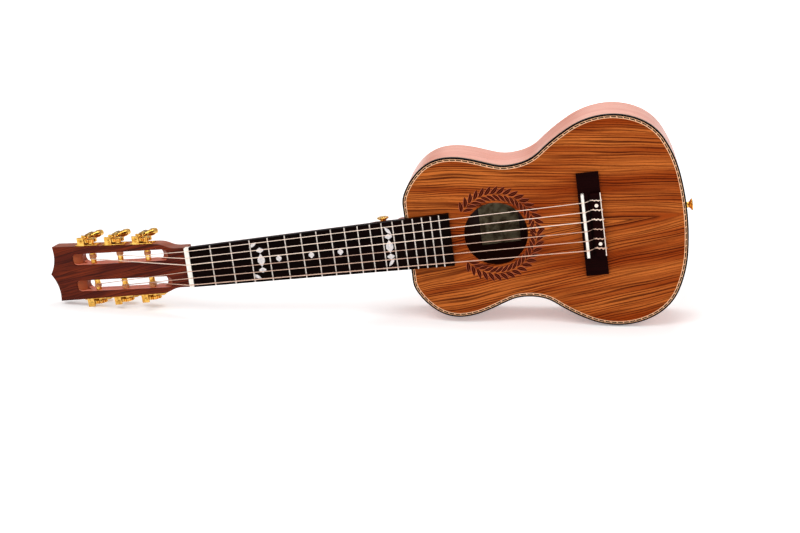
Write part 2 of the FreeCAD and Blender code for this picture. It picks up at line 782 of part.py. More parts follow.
def nut_blank():
    """The nut before its grooves are cut."""
    half = NUT_WIDTH / 2
    return box(-NUT_LENGTH, 0, -NUT_PROUD, TOP_FACE, -half, half)


def nut():
    """The nut, grooved for the strings."""
    piece = nut_blank()
    for number in range(1, STRINGS + 1):
        radius = STRING_RADII[number] + NUT_GROOVE_GAP
        z = string_offset(number) * NUT_STRING_PITCH
        start = Vector(-NUT_LENGTH - OVERRUN, -STRING_NUT_LIFT, z)
        piece = piece.cut(Part.makeCylinder(radius, NUT_LENGTH + 2 * OVERRUN, start, Vector(1, 0, 0)))
    return piece


def board_prism(x0, x1, front, back):
    """A tapered slice of the fretboard."""
    half0 = board_width(x0) / 2
    half1 = board_width(x1) / 2
    corners = [Vector(x0, front, -half0), Vector(x1, front, -half1), Vector(x1, front, half1), Vector(x0, front, half0)]
    face = Part.Face(Part.makePolygon(corners + corners[:1]))
    return face.extrude(Vector(0, back - front, 0))


def leaf(x, z, length, width):
    """A pointed leaf across the fretboard, flush with its face."""
    points = []
    for along_share, across_share in LEAF_SHARES:
        points.append(Vector(x + length * along_share, 0, z + width * across_share))
    return Part.Face(Part.makePolygon(points + points[:1])).extrude(Vector(0, INLAY_THICKNESS, 0))


def between_frets(number):
    """The middle of the space in front of a fret."""
    return (fret_place(number - 1) + fret_place(number)) / 2


def position_inlays():
    """Pearl markers let into the fretboard: large triple leaves and small single ones."""
    pieces = []
    for number in LARGE_MARK_FRETS:
        x = between_frets(number)
        pieces.append(leaf(x, 0, MARK_LENGTH, INLAY_WIDTH / 2))
        for side in (1, -1):
            pieces.append(leaf(x, side * INLAY_WIDTH * OUTER_LEAF_SHARE, MARK_LENGTH,
                               INLAY_WIDTH / 4 - INLAY_GAP))
    for number in SMALL_MARK_FRETS:
        pieces.append(leaf(between_frets(number), 0, MARK_WIDTH, MARK_LENGTH))
    return Part.makeCompound(pieces)


def fretboard():
    """The fretboard, with pockets for its markers."""
    board = board_prism(0, BOARD_END, 0, FRETBOARD_THICKNESS)
    return board.cut(position_inlays())


def fret(number):
    """One fret, a bar with sloping shoulders."""
    x = fret_place(number)
    half = board_width(x) / 2
    section = [(-FRET_BASE / 2, 0), (FRET_BASE / 2, 0), (FRET_CROWN / 2, -FRET_HEIGHT), (-FRET_CROWN / 2, -FRET_HEIGHT)]
    points = [Vector(x + along, rise, -half) for along, rise in section]
    return Part.Face(Part.makePolygon(points + points[:1])).extrude(Vector(0, 0, 2 * half))


def frets():
    """All the frets."""
    return Part.makeCompound([fret(number) for number in range(1, FRET_COUNT + 1)])


# Bridge

def bridge():
    """The bridge: wings, a ridge with the saddle's slot, and the tie block."""
    half = BRIDGE_WIDTH / 2
    centre = SADDLE_WIDTH / 2
    wings = [(-half, 0), (half, 0), (half, WING_END_HEIGHT), (centre, WING_HEIGHT), (-centre, WING_HEIGHT),
             (-half, WING_END_HEIGHT)]
    points = [Vector(BRIDGE_START, TOP_FACE - rise, across) for across, rise in wings]
    body = Part.Face(Part.makePolygon(points + points[:1])).extrude(Vector(BRIDGE_LENGTH, 0, 0))
    body = body.fuse(box(BRIDGE_START, BRIDGE_START + RIDGE_LENGTH, TOP_FACE - RIDGE_HEIGHT, TOP_FACE, -centre, centre))
    body = body.fuse(box(BRIDGE_END - TIE_BLOCK_LENGTH, BRIDGE_END, TOP_FACE - TIE_BLOCK_HEIGHT, TOP_FACE,
                         -centre, centre))
    body = body.removeSplitter().cut(saddle_box(TOP_FACE - RIDGE_HEIGHT - OVERRUN))
    for number in range(1, STRINGS + 1):
        z = string_offset(number) * SADDLE_STRING_PITCH
        start = Vector(BRIDGE_END - TIE_BLOCK_LENGTH - STEP, TOP_FACE - TIE_HOLE_HEIGHT, z)
        body = body.cut(Part.makeCylinder(TIE_HOLE_RADIUS, TIE_BLOCK_LENGTH + 2 * STEP, start, Vector(1, 0, 0)))
    return body.cut(bridge_trim())


def saddle_box(top):
    """The saddle's block up to a given depth."""
    half = SADDLE_WIDTH / 2
    return box(SADDLE_PLACE - SADDLE_THICKNESS / 2, SADDLE_PLACE + SADDLE_THICKNESS / 2,
               top, TOP_FACE - SADDLE_SEAT, -half, half)


def saddle():
    """The saddle, rounded along its top by two bevels."""
    top = -STRING_SADDLE_LIFT
    half = SADDLE_WIDTH / 2
    flat = SADDLE_THICKNESS / 2 - SADDLE_CROWN
    side = SADDLE_THICKNESS / 2
    seat = TOP_FACE - SADDLE_SEAT
    section = [(-side, seat), (side, seat), (side, top + SADDLE_CROWN), (flat, top), (-flat, top),
               (-side, top + SADDLE_CROWN)]
    points = [Vector(SADDLE_PLACE + along, depth, -half) for along, depth in section]
    return Part.Face(Part.makePolygon(points + points[:1])).extrude(Vector(0, 0, 2 * half))


def bridge_trim():
    """The pale strip along the tie block's edge and the two dots on it."""
    half = SADDLE_WIDTH / 2
    top = TOP_FACE - TIE_BLOCK_HEIGHT
    pieces = [box(BRIDGE_END - TIE_STRIP_LENGTH, BRIDGE_END, top, top + TIE_STRIP_THICKNESS, -half, half)]
    for side in (1, -1):
        x = BRIDGE_END - TIE_BLOCK_LENGTH / 2
        z = side * SADDLE_STRING_PITCH * (STRINGS_PER_SIDE - 1)
        pieces.append(Part.makeCylinder(DOT_RADIUS, DOT_THICKNESS, Vector(x, top, z), Vector(0, 1, 0)))
    return Part.makeCompound(pieces)


# Strings

def string_offset(number):
    """A string's place across, in pitches from the centre, treble positive."""
    return (STRINGS + 1) / 2 - number


def machine_of(number):
    """Row and side of the machine that a string winds on."""
    if number <= STRINGS_PER_SIDE:
        return number - 1, 1
    return STRINGS - number, -1


def winding_radius(number):
    """Distance of a winding's centre line from its roller's axis."""
    return ROLLER_RADIUS + WINDING_GAP + STRING_RADII[number]


def winding_height(row):
    """Where the string meets its roller, measured from the machine's seat inwards."""
    return -slot_depth_at(row) - WINDING_PLACES[row + 1]


def landing(number):
    """The point above the roller where the string leaves it."""
    row, side = machine_of(number)
    point = machine_frame(row).multVec(Vector(0, -winding_radius(number), winding_height(row)))
    return Vector(point.x, point.y, side * point.z)


def tie_loop(number):
    """The corners of a string's loop over the tie block, from its free end to the hole."""
    z = string_offset(number) * SADDLE_STRING_PITCH
    stand = STRING_RADII[number] + STRING_SEAT_GAP
    free_z = z + 2 * STRING_RADII[number] + TIE_LOOP_SPACE
    front = BRIDGE_END - TIE_BLOCK_LENGTH - stand
    back = BRIDGE_END + stand
    over = TOP_FACE - TIE_BLOCK_HEIGHT - stand
    return [Vector(front, over + TIE_END_LENGTH, free_z), Vector(front, over, free_z), Vector(back, over, z),
            Vector(back, TOP_FACE - TIE_HOLE_HEIGHT, z)]


def string_route(number):
    """The corners of a string from its tie loop over saddle and nut to its roller."""
    saddle_z = string_offset(number) * SADDLE_STRING_PITCH
    nut_z = string_offset(number) * NUT_STRING_PITCH
    mouth = Vector(BRIDGE_END - TIE_BLOCK_LENGTH - STEP, TOP_FACE - TIE_HOLE_HEIGHT, saddle_z)
    saddle_top = -STRING_SADDLE_LIFT - STRING_RADII[number] - NUT_GROOVE_GAP
    crest = Vector(SADDLE_PLACE + SADDLE_THICKNESS / 2, saddle_top, saddle_z)
    groove = Vector(0, -STRING_NUT_LIFT, nut_z)
    back_groove = Vector(-NUT_LENGTH, -STRING_NUT_LIFT, nut_z)
    return tie_loop(number) + [mouth, crest, groove, back_groove, landing(number)]


def eased(corners, radius):
    """The corners of a path, each sharp one cut off at the ends of its bend."""
    points = [corners[0]]
    for before, corner, after in zip(corners, corners[1:], corners[2:]):
        come = (corner - before).normalize()
        go = (after - corner).normalize()
        half_turn = come.getAngle(go) / 2
        if half_turn < SHARP_HALF_TURN:
            points.append(corner)
            continue
        room = min((corner - before).Length, (after - corner).Length) * ARC_ROOM_SHARE
        arm = min(radius * math.tan(half_turn), room)
        points += [corner - come * arm, corner + go * arm]
    return points + [corners[-1]]


def ring_round(point, way, radius, sides):
    """The corners of a wire's section, square to its way."""
    across = way.cross(Vector(1, 0, 0)).normalize()
    up = way.cross(across).normalize()
    corners = []
    for index in range(sides):
        angle = 2 * math.pi * index / sides
        corners.append(point + across * (radius * math.sin(angle)) + up * (radius * math.cos(angle)))
    return corners


def mitred_tube(corners, radius):
    """A wire of flat sides, mitred where its path bends."""
    points = eased(corners, radius + STRING_SEAT_GAP)
    ways = [(end - start).normalize() for start, end in zip(points, points[1:])]
    rows = [ring_round(points[0], ways[0], radius, STRING_SIDES)]
    for index, way in enumerate(ways):
        following = ways[min(index + 1, len(ways) - 1)]
        normal = (way + following).normalize()
        foot = points[index + 1]
        rows.append([corner + way * ((foot - corner).dot(normal) / way.dot(normal)) for corner in rows[-1]])
    return faceted(rows)


def tube(path, radius):
    """A wire of one radius, swept along a path."""
    first = path.Edges[0]
    start = first.valueAt(first.FirstParameter)
    corners = ring_round(start, first.tangentAt(first.FirstParameter), radius, WINDING_SIDES)
    shell = Part.BRepOffsetAPI.MakePipeShell(path)
    shell.add(Part.makePolygon(corners + corners[:1]))
    shell.build()
    shell.makeSolid()
    return shell.shape()


def string(number):
    """One string, cut clear of the turns on its roller."""
    piece = mitred_tube(string_route(number), STRING_RADII[number])
    row, side = machine_of(number)
    reach = winding_radius(number) + STRING_RADII[number] + STRING_END_GAP
    length = roller_reach(row)
    clear = Part.makeCylinder(reach, length, Vector(0, 0, -length))
    clear = on_side(placed(clear, machine_frame(row)), side)
    pieces = piece.cut(clear).Solids
    return max(pieces, key=lambda solid: solid.Volume)


def arc_edge(start, way, end):
    """An arc in space that leaves its start along a direction."""
    chord = end - start
    normal = chord - way * chord.dot(way)
    bow = 2 * normal.Length / chord.dot(chord)
    centre = start + normal.normalize() * (1 / bow)
    middle = centre + ((start - centre) + (end - centre)).normalize() * (1 / bow)
    return Part.Arc(start, middle, end).toShape()


def winding_path(number):
    """Turns round the roller as arcs of a quarter turn, and points along them."""
    radius = winding_radius(number)
    pitch = 2 * STRING_RADII[number] + WINDING_SPACE
    row, _ = machine_of(number)
    top = winding_height(row)

    def spot(angle):
        rise = top + pitch * angle / (2 * math.pi)
        return Vector(-radius * math.sin(angle), -radius * math.cos(angle), rise)

    def heading(angle):
        way = Vector(-radius * math.cos(angle), radius * math.sin(angle), pitch / (2 * math.pi))
        return way.normalize()

    step = math.pi
    edges = []
    for index in range(WINDING_HALF_TURNS):
        start, end = spot(index * step), spot((index + 1) * step)
        go, come = heading(index * step), heading((index + 1) * step)
        chord = end - start
        both = go + come
        a = 2 - 2 * go.dot(come)
        b = 2 * chord.dot(both)
        c = -chord.dot(chord)
        arm = -2 * c / (b + math.sqrt(b * b - 4 * a * c))
        near = start + go * arm
        far = end - come * arm
        middle = (near + far) * 0.5
        edges.append(arc_edge(start, go, middle))
        edges.append(arc_edge(middle, (far - near).normalize(), end))
    return Part.Wire(edges)


def winding(number):
    """The turns of a string on its roller, in the machine's frame."""
    return tube(winding_path(number), STRING_RADII[number])


def winding_gap(number):
    """The least gap between a winding's turns, measured on points of its centre line."""
    points = winding_path(number).discretize(Distance=STRING_RADII[number] / 2)
    turn = 2 * math.pi * winding_radius(number)
    spacing = STRING_RADII[number] / 2
    skip = int(turn / 2 / spacing)
    gaps = []
    for index, point in enumerate(points):
        gaps += [point.distanceToPoint(other) for other in points[index + skip:]]
    return min(gaps) - 2 * STRING_RADII[number]


# Tuning machines, each drawn in its own frame: X along the head's edge towards the
# nut, Y from front to back, Z out from the edge. The roller's axis is Z.

GEAR_PITCH_RADIUS = GEAR_MODULE * GEAR_TEETH / 2
GEAR_TIP_RADIUS = GEAR_PITCH_RADIUS + GEAR_MODULE
WORM_ROOT = WORM_RADIUS - 2 * GEAR_MODULE - TOOTH_CLEARANCE
GEAR_ROOT_RADIUS = GEAR_TIP_RADIUS - 2 * GEAR_MODULE - TOOTH_CLEARANCE
WORM_DISTANCE = GEAR_ROOT_RADIUS + WORM_RADIUS + TOOTH_CLEARANCE
WORM_LEAD = 2 * math.pi * GEAR_PITCH_RADIUS / GEAR_TEETH
WORM_LENGTH = WORM_TURNS * WORM_LEAD
WORM_HEIGHT = PLATE_THICKNESS + WORM_PLATE_GAP + WORM_RADIUS
GEAR_SEAT = WORM_HEIGHT - GEAR_THICKNESS / 2
EAR_INSIDE = WORM_LENGTH / 2 + EAR_GAP
EAR_OUTSIDE = EAR_INSIDE + EAR_THICKNESS


def gear_outline():
    """The worm wheel's teeth as a closed polygon with a tooth space facing the worm."""
    step = 2 * math.pi / GEAR_TEETH
    root_half = (step - TOOTH_FLAT / GEAR_PITCH_RADIUS) / 4
    tip_half = TOOTH_FLAT / 2 / GEAR_TIP_RADIUS
    foot_half = step / 2 - root_half
    points = []
    for tooth in range(GEAR_TEETH):
        centre = math.pi + (tooth + 0.5) * step
        for radius, turn in ((GEAR_ROOT_RADIUS, -foot_half), (GEAR_TIP_RADIUS, -tip_half),
                             (GEAR_TIP_RADIUS, tip_half), (GEAR_ROOT_RADIUS, foot_half)):
            angle = centre + turn
            points.append(Vector(radius * math.cos(angle), radius * math.sin(angle), GEAR_SEAT))
    return Part.makePolygon(points + points[:1])


def roller(row):
    """The string roller with its worm wheel."""
    reach = roller_reach(row)
    post = Part.makeCylinder(ROLLER_RADIUS, reach + GEAR_SEAT, Vector(0, 0, -reach))
    wheel = Part.Face(gear_outline()).extrude(Vector(0, 0, GEAR_THICKNESS))
    return post.fuse(wheel)


def worm_thread():
    """The worm's rounded thread: one section carried round the axis as it rises."""
    lift = (WORM_RADIUS - WORM_ROOT) / 2
    size = (WORM_RADIUS + WORM_ROOT) / 2
    sections = []
    count = WORM_TURNS * WORM_STEPS
    for index in range(count + 1):
        turn = 2 * math.pi * index / WORM_STEPS
        y = WORM_LEAD * index / WORM_STEPS - WORM_LENGTH / 2
        phase = turn - math.pi * WORM_TURNS
        cx = -WORM_DISTANCE + lift * math.cos(phase)
        cz = WORM_HEIGHT - lift * math.sin(phase)
        points = []
        for corner in range(WORM_SIDES):
            angle = 2 * math.pi * (corner + 0.5) / WORM_SIDES
            points.append(Vector(cx + size * math.cos(angle), y, cz - size * math.sin(angle)))
        sections.append(points)
    return faceted(sections)


def worm():
    """The worm and its shaft, from the front ear back into the button."""
    front = -EAR_OUTSIDE - STEP
    axis = Vector(-WORM_DISTANCE, front, WORM_HEIGHT)
    shaft = Part.makeCylinder(SHAFT_RADIUS, SHAFT_REACH - front, axis, Vector(0, 1, 0))
    return shaft.fuse(worm_thread())


def plate():
    """The machine's base plate with its two ears, drilled for roller and shaft."""
    centre = -PLATE_OFFSET
    sheet = box(centre - PLATE_LENGTH / 2, centre + PLATE_LENGTH / 2, -PLATE_WIDTH / 2, PLATE_WIDTH / 2,
                0, PLATE_THICKNESS)
    hole = Part.makeCylinder(ROLLER_RADIUS + RUNNING_GAP, PLATE_THICKNESS + 2 * STEP, Vector(0, 0, -STEP))
    for y0 in (-EAR_OUTSIDE, EAR_INSIDE):
        ear = box(-WORM_DISTANCE - EAR_REACH_OUT, -WORM_DISTANCE + EAR_REACH_IN, y0, y0 + EAR_THICKNESS,
                  0, EAR_PROUD)
        sheet = sheet.fuse(ear)
    bore = Part.makeCylinder(SHAFT_RADIUS + RUNNING_GAP, 2 * (EAR_OUTSIDE + STEP),
                             Vector(-WORM_DISTANCE, -EAR_OUTSIDE - STEP, WORM_HEIGHT), Vector(0, 1, 0))
    return sheet.removeSplitter().cut(hole).cut(bore)


def button_section(y, length, thickness):
    """A slice of the button: an oblong with ends of a few flats."""
    points = []
    for side in (1, -1):
        for index in range(BUTTON_END_FLATS + 1):
            angle = math.pi * index / BUTTON_END_FLATS
            reach = (length - thickness) / 2 + thickness / 2 * math.sin(angle)
            points.append(Vector(side * reach, y, side * thickness / 2 * math.cos(angle)))
    return points


def button(turn):
    """The oblong turning button on the end of the worm's shaft, narrow at its foot."""
    shoulder = BUTTON_HEIGHT * BUTTON_SHOULDER_SHARE
    rows = [(0, BUTTON_FOOT_LENGTH, BUTTON_FOOT_LENGTH - STEP), (shoulder, BUTTON_LENGTH, BUTTON_THICKNESS)]
    rows.append((BUTTON_HEIGHT - BUTTON_CHAMFER, BUTTON_LENGTH, BUTTON_THICKNESS))
    rows.append((BUTTON_HEIGHT, BUTTON_LENGTH - 2 * BUTTON_CHAMFER, BUTTON_THICKNESS - 2 * BUTTON_CHAMFER))
    body = faceted([button_section(*row) for row in rows])
    body.rotate(Vector(0, 0, 0), Vector(0, 1, 0), turn)
    body.translate(Vector(-WORM_DISTANCE, SHAFT_REACH, WORM_HEIGHT))
    return body


# Strap buttons

def strap_button():
    """A turned strap button along +Z from its seat."""
    profile = [
        (0, 0), (STRAP_BASE_RADIUS, 0), (STRAP_BASE_RADIUS, STRAP_BASE_HEIGHT), (STRAP_STEM_RADIUS, STRAP_BASE_HEIGHT),
        (STRAP_STEM_RADIUS, STRAP_FLARE_START), (STRAP_HEAD_RADIUS, STRAP_HEIGHT - STRAP_RIM),
        (STRAP_HEAD_RADIUS - STRAP_RIM / 2, STRAP_HEIGHT), (0, STRAP_HEIGHT),
    ]
    points = [Vector(radius, 0, height) for radius, height in profile]
    return Part.Face(Part.makePolygon(points + points[:1])).revolve(Vector(0, 0, 0), Vector(0, 0, 1), 360)


def strap_seat_cut():
    """A spot face that gives the strap button a flat seat on the heel."""
    return Part.makeCylinder(STRAP_HEAD_RADIUS, BODY_REACH, Vector(0, 0, 0))


def heel_strap_frame():
    """On the treble side of the heel."""
    return Placement(Vector(BODY_START - HEEL_STRAP_FROM_BODY, HEEL_STRAP_DEPTH, HEEL_STRAP_SEAT), Rotation())


def tail_strap_frame():
    """In the middle of the tail, pointing out along the body."""
    middle = (TOP_FACE + back_depth(BODY_END)) / 2
    return Placement(Vector(BODY_END, middle, 0), Rotation(Vector(0, 1, 0), QUARTER))


def strap_buttons():
    """Both strap buttons."""
    return Part.makeCompound([placed(strap_button(), tail_strap_frame()), placed(strap_button(), heel_strap_frame())])


# Assembly

def machine_parts():
    """The moving and fixed pieces of all six tuning machines, by node name."""
    parts = {}
    plates = []
    for number in range(1, STRINGS + 1):
        row, side = machine_of(number)
        frame = machine_frame(row)
        turn = TREBLE_BUTTON_TURN if side > 0 else BASS_BUTTON_TURN
        for name, shape in (("roller", roller(row)), ("winding", winding(number)), ("worm", worm()),
                            ("button", button(turn))):
            parts[name + "_" + str(number)] = on_side(placed(shape, frame), side)
        plates.append(on_side(placed(plate(), frame), side))
    parts["tuner_plates"] = Part.makeCompound(plates)
    return parts


def drawn_parts():
    """Every piece by node name, in the frame that it is drawn in."""
    parts = {
        "soundboard": soundboard(),
        "back_plate": back_plate(),
        "side_treble": rim(1),
        "side_bass": rim(-1),
        "top_binding": top_binding(),
        "top_purfling": top_purfling(),
        "neck_block": neck_block(),
        "tail_block": tail_block(),
        "top_lining": top_lining(),
        "back_lining": back_lining(),
        "top_braces": top_braces(),
        "back_braces": back_braces(),
        "bridge_patch": bridge_patch(),
        "label": label(),
        "neck": neck(),
        "heel_cap": heel_cap(),
        "head_veneer": head_veneer(),
        "nut": nut(),
        "fretboard": fretboard(),
        "frets": frets(),
        "position_inlays": position_inlays(),
        "bridge": bridge(),
        "saddle": saddle(),
        "bridge_trim": bridge_trim(),
        "strap_buttons": strap_buttons(),
    }
    for number in range(1, STRINGS + 1):
        parts["string_" + str(number)] = string(number)
    parts.update(machine_parts())
    return parts


def lowest(points, tilt):
    """The lowest height among points once the instrument is tilted, tail up."""
    return min(point.z * math.cos(tilt) + point.x * math.sin(tilt) for point in points)


def rest_tilt(parts):
    """The tilt at which the body's bass side and a bass button touch one floor."""
    runs = [inset_run(run, 0) for run in OUTLINE]
    body = mirrored_wire(runs, upright(TOP_FACE)).discretize(Distance=STEP)
    knob = []
    for number in range(STRINGS_PER_SIDE + 1, STRINGS + 1):
        for edge in parts["button_" + str(number)].Edges:
            knob += edge.discretize(Number=CONTACT_SAMPLES)
    low, high = 0.0, math.radians(2 * HEAD_TILT)
    while high - low > FLAT_ANGLE:
        tilt = (low + high) / 2
        if lowest(knob, tilt) > lowest(body, tilt):
            low = tilt
        else:
            high = tilt
    return low


def standing_frame(parts):
    """The frame that rests the instrument on the floor over the middle of its box."""
    turn = Placement(Vector(0, 0, 0), Rotation(Vector(0, 1, 0), -math.degrees(rest_tilt(parts))))
    whole = Part.makeCompound([placed(shape, turn) for shape in parts.values()])
    bounds = whole.optimalBoundingBox(False)
    middle = Vector(-(bounds.XMin + bounds.XMax) / 2, -(bounds.YMin + bounds.YMax) / 2, -bounds.ZMin)
    return Placement(middle, Rotation()).multiply(turn)


def main():
    """Builds every piece, stands the instrument up and writes one file a node."""
    parts = drawn_parts()
    frame = standing_frame(parts)
    os.makedirs("parts", exist_ok=True)
    for name, shape in parts.items():
        standing = placed(shape, frame)
        standing.exportStep("parts/" + name + ".step")
    for number in range(1, STRINGS + 1):
        print("winding", number, "least gap to itself", round(winding_gap(number), 2), "mm")
    print("rest tilt", round(math.degrees(rest_tilt(parts)), 2), "degrees")
    return parts, frame


if __name__ == "__main__":
    main()
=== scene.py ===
import math

import bmesh
import bpy
import numpy as np
from bpy.props import FloatProperty, FloatVectorProperty, IntProperty, PointerProperty
from mathutils import Matrix, Vector


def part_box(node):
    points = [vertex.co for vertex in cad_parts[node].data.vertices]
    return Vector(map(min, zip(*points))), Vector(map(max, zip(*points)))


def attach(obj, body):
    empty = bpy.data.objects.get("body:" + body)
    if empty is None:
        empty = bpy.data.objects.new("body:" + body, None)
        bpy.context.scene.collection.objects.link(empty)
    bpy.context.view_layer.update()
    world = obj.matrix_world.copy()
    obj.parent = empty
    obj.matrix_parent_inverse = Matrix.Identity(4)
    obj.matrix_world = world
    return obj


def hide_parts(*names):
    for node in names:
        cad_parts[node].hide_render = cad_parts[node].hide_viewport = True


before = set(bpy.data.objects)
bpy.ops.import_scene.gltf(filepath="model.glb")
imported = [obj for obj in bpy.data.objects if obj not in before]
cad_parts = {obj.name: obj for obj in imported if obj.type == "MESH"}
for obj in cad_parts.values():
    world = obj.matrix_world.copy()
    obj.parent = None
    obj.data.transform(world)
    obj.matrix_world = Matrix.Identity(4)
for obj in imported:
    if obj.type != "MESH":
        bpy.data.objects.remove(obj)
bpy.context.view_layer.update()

# Finishes and fine pieces of a six-string guitarlele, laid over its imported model.
# Shapes are worked out in millimetres in the frame that the instrument is drawn in:
# +X from the nut to the tail, +Y from front to back, +Z to the treble side.

bl_info = {
    "name": "Guitarlele",
    "version": (1, 0, 0),
    "blender": (4, 5, 0),
    "location": "3D View > Sidebar > Guitarlele",
    "description": "Wood finishes, trim, strings and tuning machines of a small six-string guitar",
    "category": "Object",
}

MM = 0.001
FULL_TURN = 2 * math.pi
MERGE_GAP = 0.002
FLAT_ANGLE = 0.4
FINE_RELIEF = 0.0001
WHITE = (1.0, 1.0, 1.0, 1.0)
STRINGS = 6
STRINGS_PER_SIDE = 3
BODY = "instrument"

# Places of the strings and the neck
SCALE_LENGTH = 433.0
OCTAVE_FRETS = 12
JOIN_FRET = 14
NUT_PITCH = 7.7
SADDLE_PITCH = 10.6
STRING_RADII = {1: 0.36, 2: 0.41, 3: 0.5, 4: 0.37, 5: 0.43, 6: 0.54}
NUT_LIFT = 1.9
SADDLE_LIFT = 5.2
STRING_GAP = 0.01
SEAT_GAP = 0.1
TIE_LOOP_SPACE = 0.5
TIE_END_LENGTH = 2.6
TIE_TURNS = 2.25
TIE_POINTS = 44
TIE_THINNING = 0.95
TIE_FRONT_INSET = 1.4
TIE_BACK_INSET = 1.8
TIE_SPREAD = 1.7
TIE_LIFT = 0.1
HOLE_END_GAP = 0.5
BEND_STEPS = 7
LEAST_BEND = 0.2
MOST_BEND_SHARE = 0.45
WRAP_PITCH = 0.28
NUT_LENGTH = 5.0
NUT_MIDDLE = (-2.5, 2.3, 0.0)
SADDLE_MIDDLE = (436.0, -0.85, 0.0)
SADDLE_PLACE = 436.0
SADDLE_THICKNESS = 3.2
BRIDGE_END = 455.6
TIE_BLOCK_LENGTH = 11.2
TIE_BLOCK_HEIGHT = 8.6
TIE_HOLE_HEIGHT = 4.6

# Body outline
TOP_FACE = 6.5
TOP_THICKNESS = 2.3
BODY_GAP = 1.8
BODY_LENGTH = 303.6
LOWER_BOUT_WIDTH = 233.6
LOWER_BOUT_FROM_TAIL = 76.9
WAIST_WIDTH = 147.6
WAIST_FROM_TAIL = 185.4
UPPER_BOUT_WIDTH = 179.0
UPPER_BOUT_FROM_TAIL = 252.1
NECK_FLAT_WIDTH = 57.0
DEPTH_AT_TAIL = 82.0
BINDING_WIDTH = 1.5
BINDING_DEPTH = 4.5
PURFLING_WIDTH = 2.8
DASH_LENGTH = 7.0
DASH_WIDTH = 1.32
DASH_SHARE = 0.86
DASH_SLANT = 0.8
OUTER_LINE_WIDTH = 0.3
SIDE_LINE_WIDTH = 0.9
OUTLINE_SPACING = 1.6
TRIM_DARK_FROM_END = 1.6
TRIM_DARK_REACH = 0.7
SIDES_APART = 40.0
DEPTH_SHARE = 0.8
OUTER_LEAVES = (((219.3, 21.9), (226.2, 13.4)), ((76.6, 20.6), (67.6, 15.2)))
OUTER_LEAF_WIDTH = 3.6
MARKER_ROWS = 13
MARKER_LIFT = 0.04
LEAF_ROWS = 9
LEAF_COLUMNS = 5
LEAF_TILT = 43.0
LEAF_FOOT = 0.5
LEAF_BOW = 0.06
LEAF_RISE = 0.16
WREATH_LIFT = 0.02
WREATH_ENDS = (141.0, 8.0)
INNER_LEAF_LAG = 2.0
INNER_LEAF_SHARE = 0.8
FRET_EDGE = 0.00045
SOUNDHOLE_FROM_BODY_START = 97.1
TAIL_CORNER_SHARES = (0.211, 0.712, 1.275)
LOWER_FLANK_SHARES = (0.318, 0.251, 2.04)
UPPER_FLANK_SHARES = (0.417, 0.446, 1.64)
SHOULDER_SHARES = (0.052, 0.43, 1.75)

# Head and tuning machines
HEAD_TILT = 12.0
HEAD_DROP = 3.0
HEAD_CORNER_LENGTH = 165.3
HEAD_END_WIDTH = 63.6
HEAD_SHOULDER = 37.0
HEAD_SHOULDER_WIDTH = 57.0
FIRST_ROLLER = 49.4
ROLLER_PITCH = 34.4
ROLLER_DEPTH = 7.0
ROLLER_RADIUS = 3.2
SLOT_FROM_CENTRE = 9.0
SLOT_WIDTH = 13.0
SLOT_MARGIN = 0.4
SLOTS_MIDDLE = -78.0
SLOTS_REACH = 70.0
WINDING_GAP = 0.05
WINDING_SPACE = 0.08
WINDING_END_GAP = 0.3
WINDING_STEPS = 28
DIVE_DEPTH = 1.6
DIVE_ANGLE = 0.7
WINDING_PLACES = {1: 6.0, 2: 4.5, 3: 7.0}
GEAR_TEETH = 14
GEAR_MODULE = 0.88
GEAR_THICKNESS = 3.4
TOOTH_CLEARANCE = 0.25
WORM_RADIUS = 3.7
WORM_TURNS = 3
WORM_ROWS = 61
WORM_SIDES = 28
PLATE_THICKNESS = 1.2
WORM_PLATE_GAP = 0.3
EAR_THICKNESS = 1.6
EAR_GAP = 0.3
SHAFT_RADIUS = 1.4
SHAFT_REACH = 18.0
SHAFT_PROUD = 0.5
SHAFT_EDGE = 0.2
BUTTON_ROWS = 26
BUTTON_SIDES = 40
BUTTON_FOOT = (3.0, 2.8)
BUTTON_FOOT_SHARE = 0.36
BUTTON_CROWN_FROM = 0.86
BUTTON_CROWN_LOSS = 1.5
BUTTON_CLEFT = 2.4
LOBE_FROM_MIDDLE = 0.28
LOBE_HEIGHT = 0.6
WHEEL_SCREW_HEIGHT = 1.1
PLATE_SCREW_HEIGHT = 0.8
PLATE_SCREW_PLACES = (7.4, -15.5)
BUTTON_TURNS = {1: -11.0, -1: -8.9}
BODY_START = SCALE_LENGTH * (1 - 2 ** (-JOIN_FRET / OCTAVE_FRETS)) + BODY_GAP
SOUNDHOLE_PLACE = BODY_START + SOUNDHOLE_FROM_BODY_START
GEAR_PITCH_RADIUS = GEAR_MODULE * GEAR_TEETH / 2
WORM_ROOT = WORM_RADIUS - 2 * GEAR_MODULE - TOOTH_CLEARANCE
WORM_DISTANCE = GEAR_PITCH_RADIUS - GEAR_MODULE + WORM_RADIUS
WORM_LEAD = FULL_TURN * GEAR_PITCH_RADIUS / GEAR_TEETH
WORM_LENGTH = WORM_TURNS * WORM_LEAD
WORM_HEIGHT = PLATE_THICKNESS + WORM_PLATE_GAP + WORM_RADIUS
GEAR_TOP = WORM_HEIGHT + GEAR_THICKNESS / 2
EAR_OUTSIDE = WORM_LENGTH / 2 + EAR_GAP + EAR_THICKNESS

# Strap buttons
STRAP_HEAD_RADIUS = 6.6
STRAP_STEM_RADIUS = 3.2
STRAP_BASE_RADIUS = 4.6
STRAP_HEIGHT = 8.0
HEEL_STRAP_FROM_BODY = 26.5
HEEL_STRAP_DEPTH = 29.0
HEEL_STRAP_SEAT = 19.4

# Camera, fitted to the fret places and the outline
CAMERA_ROLL = 0.1331525
CAMERA_YAW = 0.0979366
CAMERA_RISE = 0.2617994
CAMERA_ACROSS = -230.8185
CAMERA_UP = -1.2684
CAMERA_DISTANCE = 1900.0
CAMERA_LENS_SHARE = 0.9034
SENSOR_WIDTH = 36.0
PHOTO_WIDTH = 800.0

